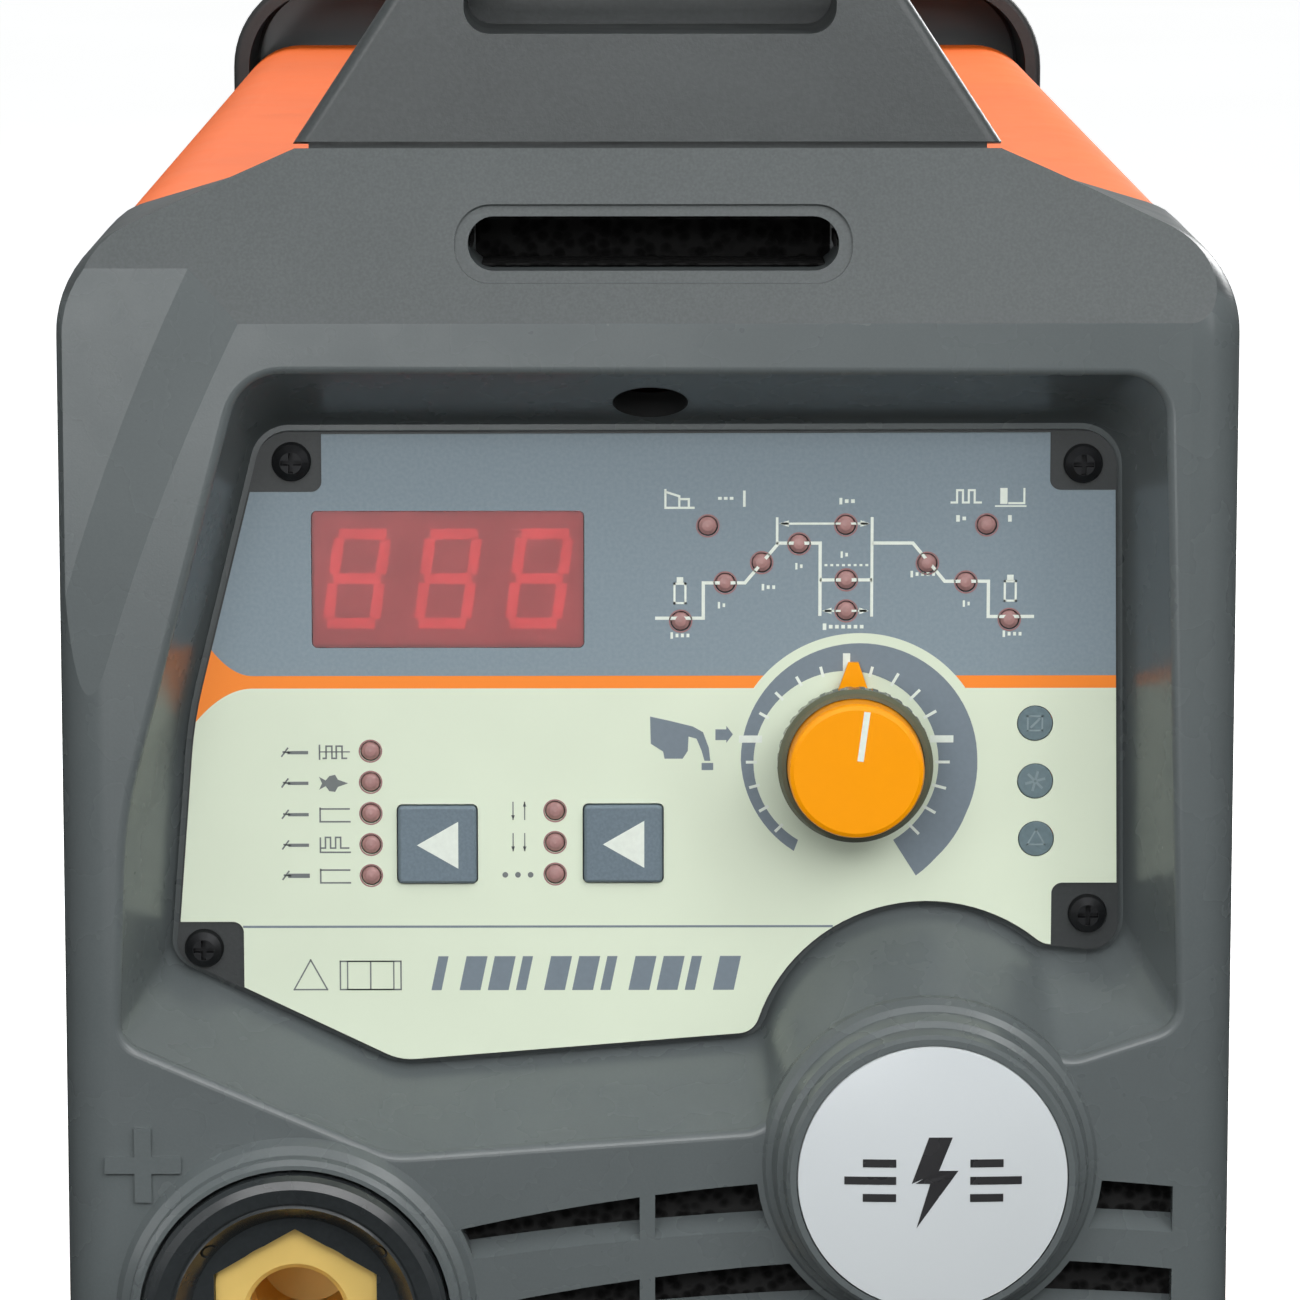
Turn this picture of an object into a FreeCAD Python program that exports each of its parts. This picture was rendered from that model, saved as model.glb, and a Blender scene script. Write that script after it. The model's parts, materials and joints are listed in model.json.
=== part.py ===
import FreeCAD, Part
import math
import os

# TIG welding machine, built as an assembly of separate pieces.
# Lengths are in millimetres. X points to the right seen from the front, Y points from the front
# to the back, Z points up. While the pieces are made, y = 0 is the front face of the front bezel
# and z = 0 is the surface the feet stand on. save() then moves every piece forward by half of the
# body's length, so that the origin is on the ground under the middle of the machine.

os.makedirs("parts", exist_ok=True)
Vector = FreeCAD.Vector
FORWARD = Vector(0, 1, 0)
UP = Vector(0, 0, 1)
SIDEWAYS = Vector(1, 0, 0)

# ---------------------------------------------------------------- driving dimensions
HALF_WIDTH = 80.0
BODY_LENGTH = 420.0
BOTTOM = 10.0               # underside of the bezels
WALL = 3.0                  # plastic wall of the bezels and the handle
FIT = 0.15                  # gap between fixed pieces that slide together

# front bezel
FRONT_DEPTH = 46.0
FRONT_WALL = 3.5
FRONT_TOP = 241.0           # top edge, if it ran out to the front plane
FRONT_TOP_BACK = 236.8      # the top falls towards the cover
FLAT_HALF = 48.0            # half width of the level part of the top
FLAT_HALF_BACK = 46.0
SHOULDER_X = 79.6
SHOULDER_Z = 225.4
SHOULDER_Z_BACK = 226.8
SHOULDER_RADIUS = 16.0
SHOULDER_RADIUS_BACK = 13.1
FOOT_RADIUS = 10.0
EDGE_ROUND = 7.0
FOLD_Z = 217.5              # above this line the front leans back
LEAN_DEG = 25.0
LIP_OVERLAP = 6.0           # length of cover tucked under each bezel

# control recess in the front bezel
PANEL_Y = 16.0              # front of the printed overlay
OVERLAY_THICK = 0.3
PANEL_THICK = 1.7
PANEL_BACK = PANEL_Y + OVERLAY_THICK + PANEL_THICK
PANEL_GAP = 0.8             # dark line round the panel
JACKET = 2.5                # wall of the recess
LIP_ROUND = 1.2             # rounded edge of the recess mouth
LIP_STEPS = 6

# badge boss, output sockets and other front fittings: centre (x, z)
BADGE = (38.4, 102.2)
BADGE_RADIUS = 21.9            # the turret near its foot
DISC_RADIUS = 18.3
PLUS_SOCKET = (-48.2, 81.2)
MINUS_SOCKET = (47.0, 45.0)
SOCKET_BOSS_RADIUS = 24.2
FLANGE_RADIUS = 20.9
SOCKET_NECK_RADIUS = 17.0
SOCKET_HEX = 22.0
SOCKET_BORE_RADIUS = 6.75
SOCKET_BORE_DEPTH = 31.5
GAS_OUTLET = (-41.0, 32.0)
CONTROL_SOCKET = (-5.0, 32.0)

STRAP_SLOT = (-24.2, 25.6, 224.2, 231.2)    # left, right, low and high edges
STRAP_POCKET_DEPTH = 18.4
STRAP_POCKET_WALL = 1.5
HANDLE_BOLT_X = (-24.0, 24.0)
HANDLE_BOLT_FRONT_Y = 27.0
HANDLE_BOLT_REAR_Y = 400.0
BEZEL_SCREW_X = 62.0
BEZEL_SCREW_Y = 30.0

# louvres of the front bezel
LOUVRE_TOP = 100.5
LOUVRE_PITCH = 11.6
LOUVRE_COUNT = 6
LOUVRE_LEFT = -63.0
LOUVRE_PEAK_X = 41.0
LOUVRE_TOP_ARC = 300.0
LOUVRE_LOW_ARC = 450.0
LOUVRE_HEIGHT = 7.0
LOUVRE_RIB_X = (-0.15, 36.0)
LOUVRE_RIB = 2.1

# cover, base and rear
COVER_HALF = 78.5
COVER_TOP = 229.0
COVER_RADIUS = 12.0
COVER_THICK = 1.2
BASE_Z = 13.2
BASE_THICK = 1.5
REAR_START = 385.0
REAR_TOP = 243.0
REAR_HALF = 79.5
REAR_RADIUS = 18.0
REAR_PLATE_Y = 412.0
REAR_PLATE_THICK = 1.5
FAN = (0.0, 86.0)
FAN_SIZE = 120.0
FAN_DEPTH = 38.0
ROCKER = (-38.0, 190.0)
GLAND = (38.0, 190.0)
GLAND_BORE = 5.1
GAS_INLET = (0.0, 182.0)
REAR_TIP = BODY_LENGTH + 18.0
FRONT_TIP = -18.0

# handle
HANDLE_FRONT = 12.0
HANDLE_REAR = 412.0
HANDLE_TOP = 300.0
HANDLE_FOOT = 236.0         # where the outlines of the handle start, inside the bezels
FOOT_SPREAD = 60.0
EDGE_SOFTENING = 1.6
BAR_HALF = 17.0
BAR_UNDER = 274.0
TOWER_SLOPE = 0.66          # how fast the tower narrows with height
TOWER_HALF = 48.2
SHADOW_GAP = 0.9
PLINTH = (-45.8, 45.8, 13.6, 42.6)          # foot of the front tower, set back under its shell

# knob and keys on the panel
KNOB = (28.2, 156.3)
KNOB_TRAVEL = 0.5
PROCESS_KEY = (-29.05, 143.55)
TRIGGER_KEY = (-3.4, 143.65)
KEY_SIZE = 10.8
KEY_TRAVEL = 0.5
BOARD_Y = 24.0
DISPLAY = (-46.1, -8.7, 171.0, 190.0)
PANEL_SCREWS = ((-48.7, 196.8), (59.5, 196.5), (-61.4, 128.9), (60.8, 133.7))
LAMPS = ((53.3, 160.4), (53.4, 152.3), (53.6, 144.2))
LED_RADIUS = 1.25
LED_COLUMN_LEFT = [(-38.2, 156.6 - 4.37 * row) for row in range(5)]
LED_COLUMN_RIGHT = [(-12.8, 148.2 - 4.45 * row) for row in range(3)]
LED_CURVE_UP = [(4.5, 174.7), (10.6, 180.0), (15.6, 182.8), (20.7, 185.4)]
LED_CURVE_MIDDLE = [(27.1, 188.0), (27.2, 180.4), (27.2, 176.1)]
LED_CURVE_DOWN = [(38.3, 182.7), (43.6, 180.1), (49.6, 174.9)]
LED_EXTRA = [(8.2, 187.9), (46.4, 188.0)]
LEDS = (LED_COLUMN_LEFT + LED_COLUMN_RIGHT + LED_CURVE_UP + LED_CURVE_MIDDLE
        + LED_CURVE_DOWN + LED_EXTRA)


# ---------------------------------------------------------------- plain shapes
def block(x0, x1, y0, y1, z0, z1):
    """A box between two corners."""
    return Part.makeBox(x1 - x0, y1 - y0, z1 - z0, Vector(x0, y0, z0))


def rod_y(centre, radius, y0, y1):
    """A cylinder that runs from front to back."""
    return Part.makeCylinder(radius, y1 - y0, Vector(centre[0], y0, centre[1]), FORWARD)


def rod_z(x, y, radius, z0, z1):
    """An upright cylinder."""
    return Part.makeCylinder(radius, z1 - z0, Vector(x, y, z0), UP)


def rod_x(y, z, radius, x0, x1):
    """A cylinder that runs from left to right."""
    return Part.makeCylinder(radius, x1 - x0, Vector(x0, y, z), SIDEWAYS)


def ring_y(centre, outer, inner, y0, y1):
    """A tube that runs from front to back."""
    return rod_y(centre, outer, y0, y1).cut(rod_y(centre, inner, y0 - 1, y1 + 1))


def turned_y(centre, profile):
    """A solid of revolution; the profile's points are (radius, y)."""
    points = [Vector(centre[0] + radius, y, centre[1]) for radius, y in profile]
    face = Part.Face(Part.makePolygon(points + points[:1]))
    return face.revolve(Vector(centre[0], 0, centre[1]), FORWARD, 360)


def turned_z(x, y, profile):
    """An upright solid of revolution; the profile's points are (radius, z)."""
    points = [Vector(x + radius, y, z) for radius, z in profile]
    face = Part.Face(Part.makePolygon(points + points[:1]))
    return face.revolve(Vector(x, y, 0), UP, 360)


def hex_y(centre, across_flats, y0, y1):
    """A hexagonal prism with a corner at its top."""
    reach = across_flats / 2 / math.cos(math.pi / 6)
    points = []
    for corner in range(6):
        angle = math.pi / 2 + corner * math.pi / 3
        x = centre[0] + reach * math.cos(angle)
        z = centre[1] + reach * math.sin(angle)
        points.append(Vector(x, y0, z))
    face = Part.Face(Part.makePolygon(points + points[:1]))
    return face.extrude(Vector(0, y1 - y0, 0))


def join(shapes):
    """One shape from several that touch or overlap."""
    result = shapes[0]
    if len(shapes) > 1:
        result = result.fuse(list(shapes[1:]))
    return result.removeSplitter()


def save(name, shapes):
    """Move a node's solids to the part's frame and write them."""
    if not isinstance(shapes, (list, tuple)):
        shapes = [shapes]
    solids = []
    for shape in shapes:
        solids.extend(shape.Solids)
    placed = [solid.translated(Vector(0, -BODY_LENGTH / 2, 0)) for solid in solids]
    result = placed[0] if len(placed) == 1 else Part.makeCompound(placed)
    volume = sum(solid.Volume for solid in placed)
    print(name, "solids", len(placed), "valid", result.isValid(), "volume", round(volume, 1))
    result.exportStep(os.path.join("parts", name + ".step"))


# ---------------------------------------------------------------- outlines in the front plane
def corner_arc(before, corner, after, radius):
    """Entry, middle and exit of the arc that rounds a corner."""
    inward = (before - corner).normalize()
    outward = (after - corner).normalize()
    half = inward.getAngle(outward) / 2
    reach = radius / math.tan(half)
    entry = corner + inward * reach
    leave = corner + outward * reach
    middle = corner + (inward + outward).normalize() * (radius / math.sin(half) - radius)
    return entry, middle, leave


def chain_wire(stations):
    """A closed wire through stations of one point, or of three points that an arc joins."""
    edges = []
    for index, station in enumerate(stations):
        if len(station) == 3:
            edges.append(Part.Arc(*station).toShape())
        following = stations[(index + 1) % len(stations)]
        if station[-1].distanceToPoint(following[0]) > 1e-6:
            edges.append(Part.LineSegment(station[-1], following[0]).toShape())
    return Part.Wire(edges)


def rounded_path(points, radii):
    """A closed wire through the points; each corner is rounded by its own radius."""
    stations = []
    for index, point in enumerate(points):
        if radii[index] > 0:
            after = points[(index + 1) % len(points)]
            stations.append(corner_arc(points[index - 1], point, after, radii[index]))
        else:
            stations.append((point,))
    return chain_wire(stations)


def rounded_wire(corners, y):
    """A closed wire at depth y; each corner is (x, z, radius)."""
    return rounded_path([Vector(x, y, z) for x, z, _ in corners], [radius for _, _, radius in corners])


def prism(corners, y0, y1):
    """A rounded outline pushed from y0 to y1."""
    return Part.Face(rounded_wire(corners, y0)).extrude(Vector(0, y1 - y0, 0))


def box_corners(x0, x1, z0, z1, radius):
    """The corners of a rounded rectangle, clockwise from the top left."""
    return [(x0, z1, radius), (x1, z1, radius), (x1, z0, radius), (x0, z0, radius)]


def grown(corners, distance):
    """The outline moved outwards by a distance; its corners run clockwise."""
    count = len(corners)
    result = []
    for index, (x, z, radius) in enumerate(corners):
        x_before, z_before, _ = corners[index - 1]
        x_after, z_after, _ = corners[(index + 1) % count]
        first = Vector(x - x_before, 0, z - z_before).normalize()
        second = Vector(x_after - x, 0, z_after - z).normalize()
        normal_first = Vector(-first.z, 0, first.x)
        normal_second = Vector(-second.z, 0, second.x)
        bisector = normal_first + normal_second
        scale = distance * 2 / bisector.dot(bisector)
        new_radius = max(radius + distance, 0.2) if radius > 0 else 0
        result.append((x + bisector.x * scale, z + bisector.z * scale, new_radius))
    return result


def ruled_loft(wires):
    """A solid with straight sides between wires that have the same number of edges."""
    return Part.makeLoft(wires, True, True)


# ---------------------------------------------------------------- front bezel
# Corners of the panel and of the recess mouth, clockwise from the top left. The bottom edge is in
# two lines, which leave the right and left corners with their own slopes and meet the badge arc.
PANEL_OUTLINE = {
    "corners": [(-52.6, 200.8, 4.5), (64.1, 201.0, 5.0), (65.2, 128.1, 4.0),
                (-34.4, 112.7, 8.0), (-65.3, 127.6, 3.5), (-62.6, 161.0, 60.0)],
    "right_slope": -0.1,
    "left_slope": 0.08,
    "arc_centre": (38.5, 111.0),
    "arc_radius": 24.2,
    "blend": 3.2,
}
MOUTH_OUTLINE = {
    "corners": [(-54.4, 210.6, 7.0), (69.2, 210.3, 5.5), (71.9, 121.4, 4.0),
                (-35.3, 103.5, 10.0), (-71.9, 119.4, 4.0), (-70.6, 150.5, 60.0)],
    "right_slope": 0.33,
    "left_slope": 0.07,
    "arc_centre": BADGE,
    "arc_radius": 22.6,
    "blend": 5.0,
}


def tangent_blend(start, direction, normal, centre, radius, blend, side):
    """The arc of radius blend that touches a line and the outside of a circle."""
    base = start + normal * blend - centre
    along = base.dot(direction)
    reach = math.sqrt(along * along - base.dot(base) + (radius + blend) ** 2)
    middle = start + normal * blend + direction * (-along + side * reach)
    on_line = middle - normal * blend
    on_circle = centre + (middle - centre) * (radius / (radius + blend))
    halfway = middle + (on_line + on_circle - middle * 2).normalize() * blend
    return on_line, halfway, on_circle


def recess_wire(outline, distance, y):
    """The recess outline, moved outwards by a distance, at depth y."""
    corners = outline["corners"]
    right_end = (corners[2][0] - 20, corners[2][1] - 20 * outline["right_slope"], 0)
    left_end = (corners[3][0] + 20, corners[3][1] + 20 * outline["left_slope"], 0)
    moved = grown(corners[:3] + [right_end, (0, -500, 0), left_end] + corners[3:], distance)
    right_line = (moved[2], outline["right_slope"])
    left_line = (moved[6], outline["left_slope"])
    centre = Vector(outline["arc_centre"][0], y, outline["arc_centre"][1])
    radius = outline["arc_radius"] - distance
    blend = outline["blend"] + distance
    blends = []
    for (x, z, _), slope, side in ((right_line[0], right_line[1], 1), (left_line[0], left_line[1], -1)):
        direction = Vector(1, 0, slope).normalize()
        normal = Vector(-direction.z, 0, direction.x)
        blends.append(tangent_blend(Vector(x, y, z), direction, normal, centre, radius, blend, side))
    right_blend = blends[0]
    left_blend = blends[1][::-1]
    points = [Vector(x, y, z) for x, z, _ in moved]
    stations = []
    for index in (0, 1, 2):
        stations.append(corner_arc(points[index - 1], points[index], points[index + 1], moved[index][2]))
    crown = centre + Vector(0, 0, radius)
    stations.append(right_blend)
    stations.append((right_blend[2], crown, left_blend[0]))
    stations.append(left_blend)
    for index in (6, 7, 8):
        after = points[(index + 1) % 9]
        stations.append(corner_arc(points[index - 1], points[index], after, moved[index][2]))
    return chain_wire(stations)


def recess_solid(mouth_growth, floor_growth, depth, lip=0.0):
    """The tapered space of the control recess, or the block that its wall is made from."""
    wires = []
    if lip > 0:
        for step in range(LIP_STEPS):
            angle = math.pi / 2 * step / LIP_STEPS
            flare = lip * (1 - math.sin(angle))
            wires.append(recess_wire(MOUTH_OUTLINE, mouth_growth + flare, lip * (1 - math.cos(angle))))
    wires.append(recess_wire(MOUTH_OUTLINE, mouth_growth, lip))
    wires.append(recess_wire(PANEL_OUTLINE, floor_growth, depth))
    return ruled_loft(wires)


def bezel_corners(flat_half, top, shoulder_z, shoulder_radius):
    """The front bezel's outline at one depth."""
    return [(-flat_half, top, 0), (flat_half, top, 0), (SHOULDER_X, shoulder_z, shoulder_radius),
            (HALF_WIDTH, BOTTOM, FOOT_RADIUS), (-HALF_WIDTH, BOTTOM, FOOT_RADIUS),
            (-SHOULDER_X, shoulder_z, shoulder_radius)]


FRONT_OUTLINE = bezel_corners(FLAT_HALF, FRONT_TOP, SHOULDER_Z, SHOULDER_RADIUS)
BACK_OUTLINE = bezel_corners(FLAT_HALF_BACK, FRONT_TOP_BACK, SHOULDER_Z_BACK, SHOULDER_RADIUS_BACK)
COVER_OUTLINE = [(-COVER_HALF, COVER_TOP, COVER_RADIUS), (COVER_HALF, COVER_TOP, COVER_RADIUS),
                 (COVER_HALF, BASE_Z, 0), (-COVER_HALF, BASE_Z, 0)]


def leaning_box(behind):
    """The space in front of the leaning upper face, moved back by a distance."""
    box = block(-120, 120, -80, 0, -20, 60)
    box.rotate(Vector(0, 0, 0), SIDEWAYS, -LEAN_DEG)
    box.translate(Vector(0, behind / math.cos(math.radians(LEAN_DEG)), FOLD_Z))
    keep_low = block(-130, 130, -100, behind, -50, FOLD_Z + 60)
    return box.cut(keep_low) if behind > 0 else box


def curve_x(z, stations):
    """A parabola through three (z, x) stations."""
    (z0, x0), (z1, x1), (z2, x2) = stations
    first = (x1 - x0) / (z1 - z0)
    second = ((x2 - x1) / (z2 - z1) - first) / (z2 - z0)
    return x0 + first * (z - z0) + second * (z - z0) * (z - z1)


def scallop(ridge, levels, width_top, width_low, depth):
    """A shallow facet on the left of the front, whose right edge is a curved ridge."""
    wires = []
    for step in range(levels):
        share = step / (levels - 1)
        z = ridge[0][0] + (ridge[2][0] - ridge[0][0]) * share
        width = width_top + (width_low - width_top) * share
        x = curve_x(z, ridge)
        slope = depth / width
        points = [Vector(x + 2 / slope, -2, z), Vector(x - width, depth, z),
                  Vector(x - width - 40, depth, z), Vector(x - width - 40, -2, z)]
        wires.append(Part.makePolygon(points + points[:1]))
    return Part.makeLoft(wires, True, False)


UPPER_RIDGE = ((226.0, -50.4), (184.9, -68.6), (126.0, -81.5))
LOWER_RIDGE = ((150.0, -80.4), (83.0, -75.2), (4.0, -60.0))


def louvre(row):
    """One curved slot of the grille; its lower side slopes up towards the inside."""
    top = LOUVRE_TOP - LOUVRE_PITCH * row
    low = top - LOUVRE_HEIGHT
    rise = 1.9
    wires = []
    for y, lift in ((-0.6, -0.33), (FRONT_WALL + 0.6, rise + 0.33)):
        x0 = -72.0
        x1 = 71.7
        stations = []
        for x, peak, radius, add in ((x0, top, LOUVRE_TOP_ARC, 0), (x1, low, LOUVRE_LOW_ARC, lift)):
            run = x1 if x == x0 else x0
            middle = (x + run) / 2
            points = []
            for place in (x, middle, run):
                drop = radius - math.sqrt(radius ** 2 - (place - LOUVRE_PEAK_X) ** 2)
                points.append(Vector(place, y, peak - drop + add))
            stations.append(tuple(points))
        wires.append(chain_wire(stations))
    slot = ruled_loft(wires)
    left_end = PLUS_SOCKET[0] if row < 3 else LOUVRE_LEFT
    blockers = [block(-200, left_end, -5, 10, 0, 120)]
    for rib_x in LOUVRE_RIB_X:
        blockers.append(block(rib_x - LOUVRE_RIB / 2, rib_x + LOUVRE_RIB / 2, -5, 10, 0, 120))
    fittings = ((BADGE, BADGE_RADIUS + 1.8), (PLUS_SOCKET, SOCKET_BOSS_RADIUS + 1.2),
                (MINUS_SOCKET, SOCKET_BOSS_RADIUS + 1.2), (GAS_OUTLET, 15.5), (CONTROL_SOCKET, 14.5))
    for centre, radius in fittings:
        blockers.append(rod_y(centre, radius, -5, 10))
    slot = slot.cut(blockers)
    return [solid for solid in slot.Solids if solid.Volume > 90]


def polarity_mark(centre, upright):
    """A raised plus or minus sign."""
    arm = 5.2
    half = 1.15
    mark = block(centre[0] - arm, centre[0] + arm, -0.6, 1, centre[1] - half, centre[1] + half)
    if upright:
        mark = mark.fuse(block(centre[0] - half, centre[0] + half, -0.6, 1, centre[1] - arm, centre[1] + arm))
    return mark


def socket_boss(centre):
    """The stepped collar round an output socket."""
    return turned_y(centre, [(10, 1), (SOCKET_BOSS_RADIUS + 0.6, 1), (SOCKET_BOSS_RADIUS + 0.6, 0),
                             (SOCKET_BOSS_RADIUS - 0.2, -1.6), (SOCKET_BOSS_RADIUS - 1.3, -2.4),
                             (SOCKET_BOSS_RADIUS - 1.5, -4.0), (SOCKET_BOSS_RADIUS - 2.2, -4.6),
                             (10, -4.6)])


def badge_boss():
    """The stepped turret that carries the badge."""
    return turned_y(BADGE, [(0, 3), (BADGE_RADIUS + 1.2, 3), (BADGE_RADIUS + 1.2, 0.4),
                            (BADGE_RADIUS + 0.5, -0.9), (BADGE_RADIUS - 0.3, -1.5),
                            (BADGE_RADIUS - 0.9, -4.4), (BADGE_RADIUS - 1.7, -5.0),
                            (BADGE_RADIUS - 2.1, -7.6), (BADGE_RADIUS - 2.6, -8.2),
                            (DISC_RADIUS + 0.15, -8.2), (DISC_RADIUS + 0.15, -7.0), (0, -7.0)])


def small_boss(centre, radius, height):
    """A round pad under a small fitting."""
    return turned_y(centre, [(0, 1), (radius, 1), (radius, 0), (radius - 1.0, -height), (0, -height)])


def strap_slot_prism(growth, y0, y1):
    """The round-ended slot for a strap, moved outwards by a distance."""
    left, right, low, high = STRAP_SLOT
    radius = (high - low) / 2 - 0.02
    return prism(grown(box_corners(left, right, low, high, radius), growth), y0, y1)


def front_bezel():
    """The plastic front: shell, leaning upper face, recess, grille and bosses."""
    body = prism(FRONT_OUTLINE, 0, FRONT_DEPTH)
    rim = [edge for edge in body.Edges if max(abs(vertex.Y) for vertex in edge.Vertexes) < 1e-6]
    body = body.makeFillet(EDGE_ROUND, rim)
    taper = ruled_loft([rounded_wire(FRONT_OUTLINE, 0), rounded_wire(BACK_OUTLINE, FRONT_DEPTH)])
    body = body.common(taper)
    body = body.cut(recess_solid(0, PANEL_GAP, PANEL_BACK, LIP_ROUND))
    body = body.cut(leaning_box(0))
    body = body.cut(scallop(UPPER_RIDGE, 6, 10.5, 6.0, 3.3))
    body = body.cut(scallop(LOWER_RIDGE, 6, 8.0, 8.0, 3.6))

    hollow = ruled_loft([rounded_wire(grown(FRONT_OUTLINE, -WALL), FRONT_WALL),
                         rounded_wire(grown(BACK_OUTLINE, -WALL), FRONT_DEPTH + 0.01)])
    hollow = hollow.cut(leaning_box(3.2))
    hollow = hollow.cut(block(-100, -52, -5, 7.4, 0, 250))
    jacket_depth = PANEL_BACK + JACKET
    hollow = hollow.cut(recess_solid(JACKET, PANEL_GAP + JACKET, jacket_depth))
    body = body.cut(hollow)
    rabbet = prism(grown(COVER_OUTLINE, FIT), FRONT_DEPTH - LIP_OVERLAP, FRONT_DEPTH + 1)
    body = body.cut(rabbet)

    window = prism([(-48, 191, 5), (56, 191, 5), (57.5, 141, 5), (18, 141, 4), (8, 133, 4),
                    (-56, 133, 5)], PANEL_BACK - 1, jacket_depth + 1)
    body = body.cut(window)
    additions = [badge_boss(), socket_boss(PLUS_SOCKET), socket_boss(MINUS_SOCKET),
                 small_boss(GAS_OUTLET, 14.0, 1.6), small_boss(CONTROL_SOCKET, 13.0, 1.6),
                 polarity_mark((-69.0, 102.2), True), polarity_mark((68.5, 67.0), False)]
    for screw in PANEL_SCREWS:
        additions.append(rod_y(screw, 3.5, PANEL_BACK, PANEL_BACK + 9))
    pocket = strap_slot_prism(STRAP_POCKET_WALL, 0, STRAP_POCKET_DEPTH + STRAP_POCKET_WALL)
    additions.append(pocket.cut(leaning_box(0)))
    body = body.fuse(additions).removeSplitter()

    cuts = []
    for row in range(LOUVRE_COUNT):
        cuts.extend(louvre(row))
    for screw in PANEL_SCREWS:
        cuts.append(rod_y(screw, 1.25, PANEL_BACK - 1, PANEL_BACK + 8))
    for socket in (PLUS_SOCKET, MINUS_SOCKET):
        cuts.append(rod_y(socket, FLANGE_RADIUS + 0.5, -20, 0))
        cuts.append(rod_y(socket, SOCKET_NECK_RADIUS + 0.1, -20, 12))
    cuts.append(rod_y(GAS_OUTLET, 6.6, -20, 12))
    cuts.append(rod_y(CONTROL_SOCKET, 8.1, -20, 12))
    cuts.append(rod_z(0.3, 10.5, 5.0, 198, 222))
    cuts.append(strap_slot_prism(0, -5, STRAP_POCKET_DEPTH))
    slot_rim = prism(box_corners(STRAP_SLOT[0] - 1.8, STRAP_SLOT[1] + 1.8, STRAP_SLOT[2] - 1.6,
                                 STRAP_SLOT[3] + 1.6, 4.8), -5, 20)
    cuts.append(leaning_box(0).translated(Vector(0, 0.6, 0)).common(slot_rim))
    for x in HANDLE_BOLT_X:
        cuts.append(rod_z(x, HANDLE_BOLT_FRONT_Y, 2.75, 220, 245))
    for x in (-BEZEL_SCREW_X, BEZEL_SCREW_X):
        cuts.append(rod_z(x, BEZEL_SCREW_Y, 2.1, 5, 14))
    body = body.cut(cuts)
    return max(body.Solids, key=lambda solid: solid.Volume)


# ---------------------------------------------------------------- panel in the recess
def panel_prism(growth, y0, y1):
    """The panel's outline as a plate."""
    return Part.Face(recess_wire(PANEL_OUTLINE, growth, y0)).extrude(Vector(0, y1 - y0, 0))


def square_hole(centre, size, y0, y1, radius=0.6):
    """A rounded square hole round a key."""
    half = size / 2
    corners = box_corners(centre[0] - half, centre[0] + half, centre[1] - half, centre[1] + half, radius)
    return prism(corners, y0, y1)


def panel_holes(y0, y1):
    """What is cut out of both the plate and its overlay."""
    holes = [rod_y(led, LED_RADIUS + 0.15, y0, y1) for led in LEDS]
    holes += [rod_y(lamp, 2.5, y0, y1) for lamp in LAMPS]
    holes += [square_hole(key, KEY_SIZE + 0.4, y0, y1, 0.8) for key in (PROCESS_KEY, TRIGGER_KEY)]
    holes.append(rod_y(KNOB, 3.7, y0, y1))
    left, right, low, high = DISPLAY
    holes.append(prism(box_corners(left, right, low, high, 0.8), y0, y1))
    return holes


def panel_plate():
    """The stiff plate that the controls are fixed to."""
    front = PANEL_Y + OVERLAY_THICK
    plate = panel_prism(0, front, PANEL_BACK)
    holes = panel_holes(front - 1, PANEL_BACK + 1)
    holes += [rod_y(screw, 1.7, front - 1, PANEL_BACK + 1) for screw in PANEL_SCREWS]
    return plate.cut(holes)


def corner_tab(screw, x_edge, z_edge):
    """The corner of the overlay that is left off, so that a screw can be reached."""
    x0, x1 = sorted((x_edge, screw[0] + math.copysign(60, screw[0])))
    z0, z1 = sorted((z_edge, screw[1] + math.copysign(60, screw[1] - 160)))
    return prism(box_corners(x0, x1, z0, z1, 1.5), 0, 40)


def panel_overlay():
    """The printed film, with its corners cut away at the screws."""
    film = panel_prism(-0.25, PANEL_Y, PANEL_Y + OVERLAY_THICK)
    holes = panel_holes(PANEL_Y - 1, PANEL_Y + 1)
    tabs = ((PANEL_SCREWS[0], -44.6, 192.6), (PANEL_SCREWS[1], 55.0, 192.8),
            (PANEL_SCREWS[2], -55.9, 132.6), (PANEL_SCREWS[3], 55.8, 138.0))
    for screw, x_edge, z_edge in tabs:
        holes.append(corner_tab(screw, x_edge, z_edge))
    return max(film.cut(holes).Solids, key=lambda solid: solid.Volume)


def pan_screw_y(centre, seat, radius, head_radius, head_height, length):
    """A pan head screw driven from the front, with a cross recess."""
    head = turned_y(centre, [(0, seat - head_height), (head_radius * 0.55, seat - head_height),
                             (head_radius * 0.9, seat - head_height * 0.62),
                             (head_radius, seat - head_height * 0.2), (head_radius, seat),
                             (radius, seat), (radius, seat + length - radius * 0.6),
                             (radius * 0.5, seat + length), (0, seat + length)])
    arm = head_radius * 0.52
    wing = head_radius * 0.12
    deep = seat - head_height * 0.35
    cross = [block(centre[0] - arm, centre[0] + arm, seat - 9, deep, centre[1] - wing, centre[1] + wing),
             block(centre[0] - wing, centre[0] + wing, seat - 9, deep, centre[1] - arm, centre[1] + arm)]
    return head.cut(cross)


def pan_screw_z(x, y, seat, radius, head_radius, head_height, length, down=True):
    """A pan head screw on an upright axis; down means that its head is at the lower end."""
    screw = pan_screw_y((0, 0), 0, radius, head_radius, head_height, length)
    screw.rotate(Vector(0, 0, 0), SIDEWAYS, 90 if down else -90)
    screw.translate(Vector(x, y, seat))
    return screw


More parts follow.
